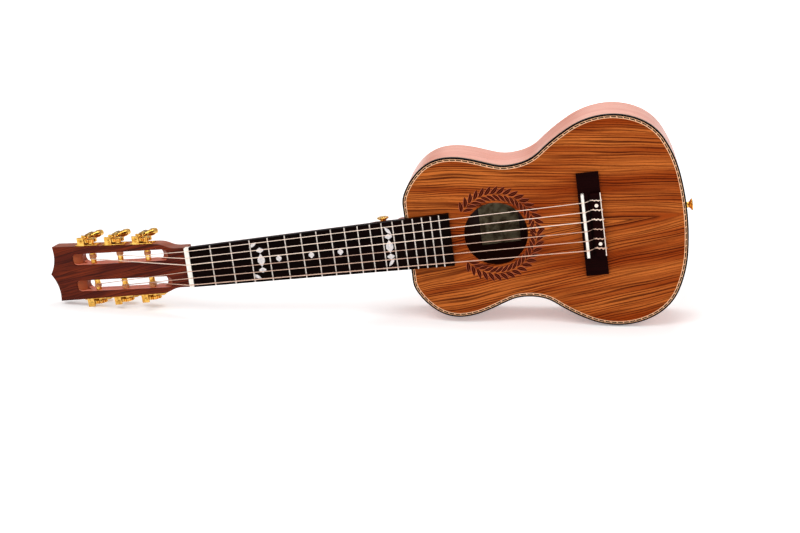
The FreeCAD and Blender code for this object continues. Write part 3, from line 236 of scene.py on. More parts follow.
# Light: each lamp's place, target, size and power
AMBIENT = 0.4
FLOOR_REACH = 14.0
LAMPS = {
    "key": ((-0.5, -1.3, 1.7), (0.05, 0.0, 0.1), 1.3, 23.0),
    "fill": ((1.3, -1.2, 0.7), (0.05, 0.0, 0.1), 1.4, 8.0),
    "top": ((0.2, 0.35, 1.5), (0.1, 0.0, 0.1), 0.9, 9.0),
}


def shade(red, green, blue):
    """A colour as read on a screen, 0 to 255, made linear."""
    values = np.array([red, green, blue]) / 255.0
    low = values / 12.92
    high = ((values + 0.055) / 1.055) ** 2.4
    return tuple(float(v) for v in np.where(values <= 0.04045, low, high))


def length(name, description, value):
    """A length that the panel shows."""
    return FloatProperty(name=name, description=description, unit="LENGTH", default=value)


def colour(name, description, *screen):
    """A colour that the panel shows, given as read on a screen."""
    return FloatVectorProperty(name=name, description=description, subtype="COLOR", size=3, min=0.0,
                               max=1.0, default=shade(*screen))


class GuitarleleSizes(bpy.types.PropertyGroup):
    edge: length("Edge", "Softening of the wooden edges", 0.0006)
    fine_edge: length("Fine edge", "Softening of metal and bone edges", 0.00025)
    wreath_radius: length("Wreath radius", "Radius of the wreath's stem line", 0.0440)
    leaf_length: length("Leaf length", "Length of one leaf of the wreath", 0.0118)
    leaf_width: length("Leaf width", "Width of one leaf of the wreath", 0.0050)
    leaf_rows: IntProperty(name="Leaf pairs", description="Pairs of leaves along each half of the wreath",
                           default=17)
    winding_turns: FloatProperty(name="Winding turns", description="Most turns of a string on its roller",
                                 default=4.5)
    button_length: length("Button length", "Length of a turning button", 0.0219)
    button_thickness: length("Button thickness", "Thickness of a turning button", 0.0083)
    button_height: length("Button height", "Height of a turning button", 0.0125)
    screw_radius: length("Screw radius", "Radius of a plate screw's head", 0.0017)
    wheel_screw_radius: length("Wheel screw radius", "Radius of a worm wheel's screw", 0.0026)


class GuitarleleColours(bpy.types.PropertyGroup):
    top_light: colour("Top light", "Light bands of the top", 198, 106, 44)
    top_mid: colour("Top middle", "Middle tone of the top", 148, 58, 12)
    top_dark: colour("Top dark", "Dark lines of the top", 58, 10, 0)
    # The side and back tones are partly the wood's own colour and partly painted sheen: pale pink where the
    # glossy sides catch the light.
    side_light_with_sheen: colour("Side light", "Light tone of sides and back", 238, 172, 152)
    side_mid_with_sheen: colour("Side middle", "Middle tone of sides and back", 228, 150, 128)
    side_dark_with_sheen: colour("Side dark", "Dark lines of sides and back", 186, 112, 92)
    neck_light: colour("Neck light", "Light tone of neck and head wood", 176, 96, 66)
    neck_mid: colour("Neck", "Middle tone of neck and head wood", 146, 70, 44)
    neck_dark: colour("Neck dark", "Dark lines of neck and head", 66, 20, 10)
    board: colour("Fretboard", "Fretboard wood", 7, 2, 1)
    bridge: colour("Bridge", "Bridge wood", 20, 2, 3)
    brace: colour("Brace", "Inner spruce braces and blocks", 196, 160, 112)
    wreath: colour("Wreath", "Leaves round the soundhole", 58, 12, 2)
    gold: colour("Gold", "Plated tuning machines", 244, 196, 100)
    gold_deep: colour("Gold deep", "Darker tone of the plating", 198, 140, 54)
    steel: colour("Fret metal", "Frets", 206, 198, 190)
    bone: colour("Bone", "Nut, saddle and pale trim", 255, 251, 242)
    binding: colour("Binding", "Edge strip round the top", 8, 2, 2)
    cream: colour("Cream line", "Pale lines of the decorative strip", 246, 190, 146)
    # The string colours hold the strings' own pale tones plus a warm tint painted in as the reflection of the
    # wood.
    nylon_and_reflection: colour("Treble string", "Clear treble strings", 255, 228, 208)
    silver_and_reflection: colour("Bass string", "Wound bass strings", 246, 204, 180)
    paper: colour("Label", "Paper label inside the body", 176, 166, 134)
    floor: colour("Floor", "Floor and backdrop", 244, 242, 242)


# Frames and places

def box_middle(node):
    """The middle of a node's box, in metres."""
    low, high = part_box(node)
    return (np.array(low, float) + np.array(high, float)) / 2


def standing_frame():
    """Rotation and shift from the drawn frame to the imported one, read from nut and saddle."""
    nut, saddle = box_middle("nut"), box_middle("saddle")
    way = saddle - nut
    drawn = np.array(SADDLE_MIDDLE) - np.array(NUT_MIDDLE)
    tilt = math.atan2(way[2], way[0])
    turn = np.array([[math.cos(tilt), 0, -math.sin(tilt)], [0, 1, 0], [math.sin(tilt), 0, math.cos(tilt)]])
    apart = np.linalg.norm(way) - np.linalg.norm(drawn) * MM
    assert abs(apart) < MM, "the scale doesn't match the packed model"
    return tilt, turn, nut - turn @ np.array(NUT_MIDDLE) * MM


TILT, TURN, SHIFT = standing_frame()


def standing(points):
    """Points from the drawn frame, millimetres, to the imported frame, metres."""
    return np.asarray(points, float) @ TURN.T * MM + SHIFT


def turned(axis, degrees):
    """A rotation matrix about one axis."""
    return np.array(Matrix.Rotation(math.radians(degrees), 3, axis))


def head_half(reach):
    """Half the head's width at a distance from its root."""
    share = (reach - HEAD_SHOULDER) / (HEAD_CORNER_LENGTH - HEAD_SHOULDER)
    return (HEAD_SHOULDER_WIDTH + (HEAD_END_WIDTH - HEAD_SHOULDER_WIDTH) * share) / 2


def machine_row(number):
    """Row and side of the machine that a string winds on."""
    if number <= STRINGS_PER_SIDE:
        return number - 1, 1
    return STRINGS - number, -1


def in_machine(points, number):
    """Points from a tuning machine's frame to the drawn frame."""
    row, side = machine_row(number)
    reach = FIRST_ROLLER + row * ROLLER_PITCH
    flare = math.degrees(math.atan2((HEAD_END_WIDTH - HEAD_SHOULDER_WIDTH) / 2,
                                    HEAD_CORNER_LENGTH - HEAD_SHOULDER))
    spots = np.asarray(points, float) @ turned("Y", flare).T + [-reach, ROLLER_DEPTH, head_half(reach)]
    spots = spots @ turned("Z", -HEAD_TILT).T + [-NUT_LENGTH, HEAD_DROP, 0.0]
    return spots * [1.0, 1.0, side]


# Meshes

def grid_quads(rows, columns, wrap=False):
    """Quads between neighbours of a rows by columns grid, its columns joined round when wrapped."""
    last = columns if wrap else columns - 1
    row, column = np.meshgrid(np.arange(rows - 1), np.arange(last), indexing="ij")
    here = row * columns + column
    beside = row * columns + (column + 1) % columns
    return np.stack([here, beside, beside + columns, here + columns], axis=-1).reshape(-1, 4)


def tube_faces(rows, sides):
    """Quads round a tube of rows by sides points, with a face at each end."""
    ends = [list(range(sides)), list(range((rows - 1) * sides, rows * sides))]
    return grid_quads(rows, sides, wrap=True).tolist() + ends


def edited(mesh, change, source=None):
    """Puts a mesh through bmesh, from its own faces or from another's."""
    shell = bmesh.new()
    shell.from_mesh(source or mesh)
    change(shell)
    shell.to_mesh(mesh)
    shell.free()


def outwards(shell):
    """Turns the faces of a closed form outwards."""
    bmesh.ops.recalc_face_normals(shell, faces=shell.faces)


def frontwards(shell):
    """Turns the faces of an open sheet to the front."""
    shell.normal_update()
    bmesh.ops.reverse_faces(shell, faces=[face for face in shell.faces if face.normal.y > 0])


def linked(name, data):
    """A new object in the scene."""
    item = bpy.data.objects.new(name, data)
    bpy.context.scene.collection.objects.link(item)
    return item


def shown(name, mesh, material, body, replaced):
    """Adds a mesh as a piece of one material that rides a body."""
    mesh.materials.append(material)
    piece = linked(name, mesh)
    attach(piece, body)
    if replaced:
        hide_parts(*replaced)
    return piece


def make_piece(name, points, faces, material, slot, body=BODY, replaced=(), uv=None, closed=True,
               smooth=True):
    """A piece from points in the drawn frame, closed or an open sheet."""
    mesh = bpy.data.meshes.new(name)
    mesh.from_pydata(standing(points).tolist(), [], [list(map(int, face)) for face in faces])
    if uv is not None:
        layer = mesh.uv_layers.new(name="UVMap")
        corner = np.empty(len(mesh.loops), dtype=np.int32)
        mesh.loops.foreach_get("vertex_index", corner)
        layer.data.foreach_set("uv", np.asarray(uv, np.float32)[corner].ravel())
    edited(mesh, outwards if closed else frontwards)
    mesh.polygons.foreach_set("use_smooth", np.full(len(mesh.polygons), smooth))
    return shown(name, mesh, material, body, replaced)


def softened(node, material, width, body=BODY, sharp=38.0, segments=2, merged=True):
    """A merged copy of a CAD node with rounded edges and smooth faces, shown in its place."""
    def smoothed(shell):
        """Merges the copy, and shades all but its sharp edges smooth."""
        bmesh.ops.remove_doubles(shell, verts=shell.verts, dist=MM * MERGE_GAP)
        if merged:
            bmesh.ops.dissolve_limit(shell, angle_limit=math.radians(FLAT_ANGLE), verts=shell.verts,
                                     edges=shell.edges)
        for face in shell.faces:
            face.smooth = True
        for edge in shell.edges:
            edge.smooth = edge.is_manifold and edge.calc_face_angle(math.pi) < math.radians(sharp)

    mesh = bpy.data.meshes.new(node + "_soft")
    edited(mesh, smoothed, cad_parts[node].data)
    piece = shown(node + "_soft", mesh, material, body, (node,))
    if width:
        bevel = piece.modifiers.new("Soft edges", "BEVEL")
        bevel.width = width
        bevel.segments = segments
        bevel.limit_method = "ANGLE"
        bevel.angle_limit = math.radians(sharp)
        bevel.harden_normals = True
    return piece


def dress(node, material):
    """Gives a CAD node its finish."""
    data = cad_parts[node].data
    if not data.materials:
        data.materials.append(material)
    for index in range(len(data.materials)):
        data.materials[index] = material


def lengths_along(points):
    """The way walked to each point of a path."""
    return np.concatenate([[0.0], np.cumsum(np.linalg.norm(np.diff(points, axis=0), axis=1))])


def swept(path, radius, sides):
    """A round tube along a path: each ring stands square to the path, turned from the Z direction."""
    path = np.asarray(path, float)
    way = np.gradient(path, axis=0)
    way /= np.linalg.norm(way, axis=1)[:, None]
    first = np.cross(np.broadcast_to((0.0, 0.0, 1.0), way.shape), way)
    first /= np.linalg.norm(first, axis=1)[:, None]
    second = np.cross(way, first)
    angle = round_angles(sides)
    ring = np.cos(angle)[:, None] * first[:, None] + np.sin(angle)[:, None] * second[:, None]
    points = (path[:, None] + radius * ring).reshape(-1, 3)
    uv = np.stack([np.repeat(lengths_along(path), sides), np.tile(angle / FULL_TURN, len(path))], axis=1)
    return points, tube_faces(len(path), sides), uv


def round_angles(sides):
    """Equal angles once round."""
    return np.linspace(0, FULL_TURN, sides, endpoint=False)


def revolved(profile, sides):
    """A profile of (radius, height) pairs turned about +Z, closed at its poles."""
    profile = np.asarray(profile, float)
    angle = round_angles(sides)
    x = profile[:, 0, None] * np.cos(angle)
    y = profile[:, 0, None] * np.sin(angle)
    z = np.broadcast_to(profile[:, 1, None], x.shape)
    return np.stack([x, y, z], axis=-1).reshape(-1, 3), tube_faces(len(profile), sides)


def joined(parts):
    """Several (points, faces) shapes as one."""
    points, faces, start = [], [], 0
    for spots, quads in parts:
        points.append(spots)
        faces += [[index + start for index in face] for face in quads]
        start += len(spots)
    return np.concatenate(points), faces


# Shader helpers

class Wire:
    """A value in a shader tree; sums with it become Math nodes."""

    def __init__(self, socket):
        self.socket = socket

    def by(self, operation, *others, clamp=False):
        """One Math node on this value and the others."""
        return wire(self.socket.id_data, "Math", dict(enumerate((self, *others))), operation=operation,
                    use_clamp=clamp)

    def ranged(self, low, high, out_low=0.0, out_high=1.0):
        """This value moved from one range to another, smoothly and within its ends."""
        ends = {"Value": self, "From Min": low, "From Max": high, "To Min": out_low, "To Max": out_high}
        return wire(self.socket.id_data, "MapRange", ends, "Result", interpolation_type="SMOOTHSTEP")

    def __add__(self, other):
        return self.by("ADD", other)

    def __sub__(self, other):
        return self.by("SUBTRACT", other)

    def __mul__(self, other):
        return self.by("MULTIPLY", other)

    def __truediv__(self, other):
        return self.by("DIVIDE", other)


def fill(node, inputs):
    """Joins or fills a node's inputs."""
    for key, value in inputs.items():
        value = value.socket if isinstance(value, Wire) else value
        if isinstance(value, bpy.types.NodeSocket):
            node.id_data.links.new(value, node.inputs[key])
        else:
            node.inputs[key].default_value = value


def put(tree, kind, inputs=None, **settings):
    """Adds a shader node, sets it, and joins or fills its inputs."""
    node = tree.nodes.new("ShaderNode" + kind)
    for key, value in settings.items():
        setattr(node, key, value)
    fill(node, inputs or {})
    return node


def wire(tree, kind, inputs=None, output=0, **settings):
    """One output of a new shader node."""
    return Wire(put(tree, kind, inputs, **settings).outputs[output])


def split(tree, vector):
    """The three parts of a vector."""
    return [Wire(part) for part in put(tree, "SeparateXYZ", {"Vector": vector}).outputs]


def noise(tree, place, scale, detail, roughness=0.5):
    """A soft noise over a place."""
    return wire(tree, "TexNoise", {"Vector": place, "Scale": scale, "Detail": detail,
                                   "Roughness": roughness}, "Fac")


def blended(share, first, second):
    """Two colours mixed by a mask."""
    first, second = (tone if isinstance(tone, Wire) else (*tone, 1.0) for tone in (first, second))
    return wire(share.socket.id_data, "Mix", {0: share, 6: first, 7: second}, 2, data_type="RGBA")


def grouped(tree, name, build, inputs=None):
    """A shared node group placed in a tree; on first use build(group, *inputs) gives its outputs by name."""
    inputs = inputs or {}
    group = bpy.data.node_groups.get(name)
    if not group:
        group = bpy.data.node_groups.new(name, "ShaderNodeTree")
        for label in inputs:
            group.interface.new_socket(label, in_out="INPUT", socket_type="NodeSocketFloat")
        entry = group.nodes.new("NodeGroupInput")
        made = build(group, *(Wire(entry.outputs[label]) for label in inputs))
        for label in made:
            kind = "NodeSocketVector" if label == "Place" else "NodeSocketFloat"
            group.interface.new_socket(label, in_out="OUTPUT", socket_type=kind)
        fill(group.nodes.new("NodeGroupOutput"), made)
    placed = put(tree, "Group", inputs, node_tree=group)
    return {socket.name: Wire(socket) for socket in placed.outputs}


def place_parts(group):
    """Where a point lies on the instrument, in millimetres along, deep and across."""
    spot = put(group, "TexCoord").outputs["Object"]
    place = wire(group, "Mapping", {"Vector": spot, "Location": tuple(SHIFT), "Rotation": (0.0, -TILT, 0.0),
                                    "Scale": (MM, MM, MM)}, vector_type="TEXTURE")
    along, depth, across = split(group, place)
    return {"Place": place, "Along": along, "Across": across, "Depth": depth}


def instrument_place(tree):
    """The group that says where a point lies on the instrument."""
    return grouped(tree, "Instrument place", place_parts)


def grain_parts(group, along, across, depth, spacing, wander):
    """Grain lines of several widths that wander, slow bands of tone, and short pores."""
    def streaks(x, y, z, detail, roughness=0.5):
        """Noise stretched along the grain."""
        return noise(group, wire(group, "CombineXYZ", {0: x, 1: y, 2: z}), 1.0, detail, roughness)

    sway = streaks(along * 0.009, across * 0.016, depth * 0.02, 2.0)
    level = across + (sway - 0.5) * (wander * 2.0)
    steps = level / spacing
    slow, deep = along * 0.004, depth * 0.05
    warp = streaks(slow, steps * 0.35, deep, 2.0)
    wave = ((steps + warp * 3.6) * FULL_TURN).by("SINE")
    patch = streaks(along * 0.007, steps * 0.4, deep, 2.0)
    lines = wave.ranged(0.2, 0.98) * patch.ranged(0.3, 0.62, 0.35, 1.0)
    bold = streaks(slow, steps * 0.8, deep, 3.0, 0.62)
    fine = streaks(along * 0.02, steps * 3.6, deep, 2.0)
    tone = streaks(along * 0.006, steps * 0.23, deep, 1.0)
    pores = streaks(along * 0.22, level * 4.2, depth, 1.0)
    return {"Lines": lines.by("MAXIMUM", bold.ranged(0.54, 0.66)), "Fine": fine.ranged(0.46, 0.68),
            "Tone": tone.ranged(0.3, 0.7), "Pores": pores.ranged(0.6, 0.74)}


def wear_parts(group, roughness, smudge, fineness):
    """Faint smudges for the roughness and a fine unevenness for the bump."""
    place = instrument_place(group)["Place"]
    smudges = noise(group, place, 0.06, 4.0)
    return {"Roughness": roughness.by("ADD", (smudges - 0.5) * smudge, clamp=True),
            "Height": noise(group, place, fineness, 2.0)}


def new_material(name):
    """A material with a bare Principled shader: the material, its tree and the shader."""
    material = bpy.data.materials.new(name)
    material.use_nodes = True
    tree = material.node_tree
    tree.nodes.clear()
    shader = put(tree, "BsdfPrincipled")
    put(tree, "OutputMaterial", {"Surface": shader.outputs[0]})
    return material, tree, shader


def bumped(shader, height, strength, distance=FINE_RELIEF):
    """Joins a height to the shader's normal."""
    bump = wire(shader.id_data, "Bump", {"Strength": strength, "Distance": distance, "Height": height})
    fill(shader, {"Normal": bump})


def finished(shader, base, roughness, smudge=0.1, fineness=1.0, gloss=0.5, metallic=0.0, strength=0.0):
    """Fills a shader: its colour and gloss, and roughness and a faint bump from the shared group."""
    wear = grouped(shader.id_data, "Handling", wear_parts,
                   {"Roughness": roughness, "Smudge": smudge, "Fineness": fineness})
    fill(shader, {"Base Color": base, "Metallic": metallic, "Specular IOR Level": gloss,
                  "Roughness": wear["Roughness"]})
    if strength:
        bumped(shader, wear["Height"], strength)


def pale_line(place, _, body):
    """A thin pale line on the sides, just behind the edge strip."""
    edge = place["Depth"] - (TOP_FACE + BINDING_DEPTH)
    return blended(edge.by("LESS_THAN", SIDE_LINE_WIDTH), body, colours().cream)


def painted_inside_shade(_, facing, body):
    """Painted shade: the inner face of the back, picked by its facing, gets a dark colour so that it reads
    shaded behind the soundhole.
    """
    return blended(facing[1].by("LESS_THAN", -0.5), body, shade(58, 26, 18))


def slot_painted_light(place, facing, body):
    """Painted light and shade on the head's slots, picked by which way each face looks: a painted highlight
    on the walls that face up or down, and darker painted shade on the slopes at their ends.
    """
    half = SLOT_WIDTH / 2
    near = place["Across"].by("ABSOLUTE").by("COMPARE", SLOT_FROM_CENTRE + half, half + SLOT_MARGIN)
    near = near * place["Along"].by("COMPARE", SLOTS_MIDDLE, SLOTS_REACH)
    ends = facing[0].by("ABSOLUTE").by("GREATER_THAN", 0.3)
    painted_lit_walls = facing[2].by("ABSOLUTE").by("GREATER_THAN", 0.7)
    # Painted highlight on the level slot walls, painted shade on the sloped ends.
    return blended(near * painted_lit_walls, blended(near * ends, body, shade(160, 80, 44)), shade(232, 140, 112))


def wood(name, light, middle, dark, spacing, wander, lines, gloss, roughness, slope=0.0, matched=False,
         curved=False, touch=None):
    """A wood with grain from nut to tail, matched about the centre line, or curved round the body."""
    material, tree, shader = new_material(name)
    place = instrument_place(tree)
    along, across, depth = place["Along"], place["Across"], place["Depth"]
    if curved:
        level = depth + across.by("SIGN") * SIDES_APART
    elif matched:
        level = across.by("ABSOLUTE") + along * slope
    else:
        level = across + depth * DEPTH_SHARE
    grain = grouped(tree, "Wood grain", grain_parts, {
        "Along": along, "Across": level, "Depth": 0.0 if curved else depth, "Spacing": spacing,
        "Wander": wander})
    body = blended(grain["Tone"], light, middle)
    for mask, share in (("Fine", 0.5), ("Lines", lines), ("Pores", 0.55)):
        body = blended(grain[mask] * share, body, dark)
    if touch:
        body = touch(place, split(tree, put(tree, "TexCoord").outputs["Normal"]), body)
    finished(shader, body, roughness, 0.12, 0.6, gloss)
    bumped(shader, (grain["Pores"] - 1.0) * -1.0, 0.12)
    return material


def plain(name, base, other, scale, roughness, smudge=0.1, **finish):
    """A finish of two close tones that cloud into one another."""
    material, tree, shader = new_material(name)
    cloud = noise(tree, instrument_place(tree)["Place"], scale, 3.0).ranged(0.35, 0.65)
    finished(shader, blended(cloud, base, other), roughness, smudge, 1.4, **finish)
    return material


def uv_parts(tree):
    """The two measures of a piece's own UV."""
    return split(tree, put(tree, "UVMap", uv_map="UVMap").outputs[0])[:2]


def purfling_material():
    """Cream lines each side of a row of slanted dark dashes, by the strip's own UV in millimetres."""
    material, tree, shader = new_material("Decorative strip")
    along, across = uv_parts(tree)
    dash = ((along + across * DASH_SLANT) / DASH_LENGTH).by("FRACT").by("LESS_THAN", DASH_SHARE)
    row = across.by("COMPARE", PURFLING_WIDTH / 2, DASH_WIDTH / 2)
    dark = (row * dash).by("MAXIMUM", across.by("LESS_THAN", OUTER_LINE_WIDTH))
    finished(shader, blended(dark, colours().cream, colours().binding), 0.3, gloss=0.05)
    return material


def string_material(name, base, roughness, metallic=0.0, wound=True):
    """A string's finish: the colour darkens towards black along the helix of the wire wrap as painted shade
    in its grooves, deeply on wound strings and faintly on plain ones; wound strings also get the ridges as a
    bump.
    """
    material, tree, shader = new_material(name)
    along, turn = uv_parts(tree)
    ridge = (along * (FULL_TURN / WRAP_PITCH) + turn * FULL_TURN).by("SINE")
    lit = ridge.ranged(-1.0, 0.2, 0.62 if wound else 0.92)
    # Painted shade: the colour falls towards black in the grooves between the wraps.
    finished(shader, blended(lit, (0.0, 0.0, 0.0), base), roughness, fineness=2.0, metallic=metallic)
    if wound:
        bumped(shader, ridge, 0.5, FINE_RELIEF / 2)
    return material


def trim_material():
    """Pale dots and a thin pale line at the tail edge of the tie block; the strip is dark beside it."""
    material, tree, shader = new_material("Pale trim")
    dark = instrument_place(tree)["Along"].by("COMPARE", BRIDGE_END - TRIM_DARK_FROM_END, TRIM_DARK_REACH)
    finished(shader, blended(dark, shade(252, 234, 220), colours().bridge), 0.4, gloss=0.1)
    return material


def leaf_material():
    """Dark leaves with a paler rim and vein, by the leaf's own UV: along 0 to 1, across -1 to 1."""
    material, tree, shader = new_material("Wreath leaf")
    across = uv_parts(tree)[1].by("ABSOLUTE")
    vein = across.ranged(0.02, 0.16, 0.35, 0.0)
    pale = across.ranged(0.68, 0.95).by("MAXIMUM", vein)
    finished(shader, blended(pale, colours().wreath, shade(186, 100, 72)), 0.4, gloss=0.0)
    return material


def colours():
    """The colours that the panel shows."""
    return bpy.context.scene.guitarlele_colours


def sizes():
    """The sizes that the panel shows."""
    return bpy.context.scene.guitarlele_sizes


def gold():
    """The plating of the tuning machines, made once."""
    c = colours()
    return bpy.data.materials.get("Gold plate") or plain(
        "Gold plate", c.gold, c.gold_deep, scale=0.25, roughness=0.2, smudge=0.12, metallic=1.0,
        strength=0.05)


def bone():
    """The bone of nut and saddle, made once."""
    return bpy.data.materials.get("Bone") or plain(
        "Bone", colours().bone, shade(250, 243, 231), scale=0.2, roughness=0.34)


# Outline of the body: points and directions are (along, across) pairs

def unit(vector):
    """A direction of length one."""
    return np.asarray(vector, float) / np.linalg.norm(vector)


def biarc(start, start_way, end, end_way):
    """Two tangent arcs as (start, start way, end, end way) runs."""
    chord = end - start
    both = start_way + end_way
    a = 2 - 2 * start_way @ end_way
    b = 2 * chord @ both
    arm = 2 * (chord @ chord) / (b + math.sqrt(b * b + 4 * a * (chord @ chord)))
    near, far = start + start_way * arm, end - end_way * arm
    middle, middle_way = (near + far) / 2, unit(far - near)
    return [(start, start_way, middle, middle_way), (middle, middle_way, end, end_way)]


def between(first, second, shares):
    """A point between two stations and its slope from first to second."""
    gap = second - first
    return first + gap * np.array(shares[:2]), unit(gap * np.array([1.0, shares[2]]))


def arc_samples(run, spacing):
    """Points and directions along an arc: the chord's share grows as the sine of half the turn so far."""
    start, way, end, _ = run
    chord = end - start
    turn = 2 * math.atan2(way[0] * chord[1] - way[1] * chord[0], way @ chord)
    count = max(2, int(np.linalg.norm(chord) / spacing))
    share = np.arange(count) / count
    angle = math.atan2(way[1], way[0])
    if abs(turn) < 1e-6:
        points = start + share[:, None] * chord
    else:
        reach = np.sin(turn * share / 2) / math.sin(turn / 2)
        bend = turn * (share - 1) / 2
        bent_chord = [chord[0] * np.cos(bend) - chord[1] * np.sin(bend),
                      chord[0] * np.sin(bend) + chord[1] * np.cos(bend)]
        points = start + reach[:, None] * np.stack(bent_chord, axis=1)
    heading = angle + turn * share
    return points, np.stack([np.cos(heading), np.sin(heading)], axis=1)


def body_outline(spacing):
    """Points and directions once round the body, from the tail over the treble side."""
    start = BODY_START
    tail_end = start + BODY_LENGTH
    tail = np.array([tail_end, 0.0])
    lower = np.array([tail_end - LOWER_BOUT_FROM_TAIL, LOWER_BOUT_WIDTH / 2])
    waist = np.array([tail_end - WAIST_FROM_TAIL, WAIST_WIDTH / 2])
    upper = np.array([tail_end - UPPER_BOUT_FROM_TAIL, UPPER_BOUT_WIDTH / 2])
    seat = np.array([start, NECK_FLAT_WIDTH / 2])
    level, down = np.array([-1.0, 0.0]), np.array([0.0, -1.0])
    flank, flank_way = between(waist, lower, LOWER_FLANK_SHARES)
    rise, rise_way = between(waist, upper, UPPER_FLANK_SHARES)
    shoulder, shoulder_way = between(seat, upper, SHOULDER_SHARES)
    stops = [(tail, -down), between(tail, lower, TAIL_CORNER_SHARES), (lower, level), (flank, -flank_way),
             (waist, level), (rise, rise_way), (upper, level), (shoulder, -shoulder_way), (seat, down)]
    runs = []
    for (here, way), (there, end_way) in zip(stops, stops[1:]):
        runs += biarc(here, way, there, end_way)
    runs.append((seat, down, np.array([start, 0.0]), down))
    samples = [arc_samples(run, spacing) for run in runs]
    points = np.concatenate([s[0] for s in samples])
    ways = np.concatenate([s[1] for s in samples])
    mirror = np.concatenate([points[1:], [[start, 0.0]]])[::-1] * [1.0, -1.0]
    mirror_ways = np.concatenate([ways[1:], [down]])[::-1] * [-1.0, 1.0]
    return np.concatenate([points, mirror]), np.concatenate([ways, mirror_ways])


# Strings

def string_corners(number):
    """The corners of a string from its tie loop over saddle and nut to its roller."""
    radius = STRING_RADII[number]
    offset = (STRINGS + 1) / 2 - number
    z, nut_z = offset * SADDLE_PITCH, offset * NUT_PITCH
    stand = radius + SEAT_GAP
    free = z + 2 * radius + TIE_LOOP_SPACE
    front, back = BRIDGE_END - TIE_BLOCK_LENGTH - stand, BRIDGE_END + stand
    over = TOP_FACE - TIE_BLOCK_HEIGHT - stand
    hole = TOP_FACE - TIE_HOLE_HEIGHT
    landing = in_machine([[0.0, -winding_radius(number), winding_start(number)]], number)[0]
    return np.array([
        (front, over + TIE_END_LENGTH, free), (front, over, free), (back, over, z), (back, hole, z),
        (BRIDGE_END - TIE_BLOCK_LENGTH - HOLE_END_GAP, hole, z),
        (SADDLE_PLACE + SADDLE_THICKNESS / 2, -SADDLE_LIFT - radius - STRING_GAP, z),
        (0.0, -NUT_LIFT, nut_z), (-NUT_LENGTH, -NUT_LIFT, nut_z), tuple(landing)])


def bent(corners, radius):
    """The path through the corners, each rounded by a parabola as long as a bend of that radius."""
    pieces = [corners[:1]]
    step = np.linspace(0, 1, BEND_STEPS)[:, None]
    for before, corner, after in zip(corners, corners[1:], corners[2:]):
        come, go = unit(corner - before), unit(after - corner)
        half = math.acos(float(np.clip(come @ go, -1, 1))) / 2
        room = MOST_BEND_SHARE * min(np.linalg.norm(corner - before), np.linalg.norm(after - corner))
        arm = min(max(radius * math.tan(half), LEAST_BEND), room)
        first, last = corner - come * arm, corner + go * arm
        pieces.append(first * (1 - step) ** 2 + 2 * corner * step * (1 - step) + last * step ** 2)
    pieces.append(corners[-1:])
    return np.concatenate(pieces)


def tie_twist(number):
    """The string's free end laid over and round the strand on the tie block, as a flattened helix."""
    corners = string_corners(number)
    radius = STRING_RADII[number]
    front, back = corners[1] + [TIE_FRONT_INSET, 0, 0], corners[2] - [TIE_BACK_INSET, 0, 0]
    share = np.linspace(0, 1, TIE_POINTS)
    angle = FULL_TURN * TIE_TURNS * share
    path = front + share[:, None] * (back - front)
    aside = radius * TIE_SPREAD * np.sin(angle)
    lift = radius * (1 + np.cos(angle)) / 2 + TIE_LIFT
    return path + np.stack([np.zeros(TIE_POINTS), -lift, aside], axis=1)


def winding_radius(number):
    """Distance of a winding's centre line from its roller's axis."""
    return ROLLER_RADIUS + WINDING_GAP + STRING_RADII[number]


def winding_start(number):
    """Where the string meets its roller, measured from the machine's seat."""
    row, _ = machine_row(number)
    reach = head_half(FIRST_ROLLER + row * ROLLER_PITCH) - SLOT_FROM_CENTRE - SLOT_WIDTH
    return -reach - WINDING_PLACES[row + 1]


def winding_points(number, most):
    """A helix on the roller, one string's width a turn, that dives into the roller at its end."""
    radius = STRING_RADII[number]
    pitch = 2 * radius + WINDING_SPACE
    row, _ = machine_row(number)
    turns = min(most, (WINDING_PLACES[row + 1] - radius - WINDING_END_GAP) / pitch)
    angle = np.linspace(0, FULL_TURN * turns, int(WINDING_STEPS * turns))
    dive = np.clip((angle - angle[-1] + DIVE_ANGLE) / DIVE_ANGLE, 0, 1)
    reach = winding_radius(number) - DIVE_DEPTH * dive ** 2
    return np.stack([-reach * np.sin(angle), -reach * np.cos(angle),
                     winding_start(number) + pitch * angle / FULL_TURN], axis=1)


# Operators

class PieceOperator:
    """Common options of the operators that make pieces."""
    bl_options = {"REGISTER", "UNDO"}


class OBJECT_OT_guitarlele_top(PieceOperator, bpy.types.Operator):
    """Striped, book-matched top, with bare wood behind it"""
    bl_idname = "object.guitarlele_top"
    bl_label = "Top"

    def execute(self, context):
        c = colours()
        top = wood("Striped top wood", c.top_light, c.top_mid, c.top_dark, spacing=3.0, wander=5.0,
                   lines=0.95, gloss=0.03, roughness=0.3, slope=0.115, matched=True)
        softened("soundboard", top, 0.0)
        dress("bridge_patch", top)
        return {"FINISHED"}


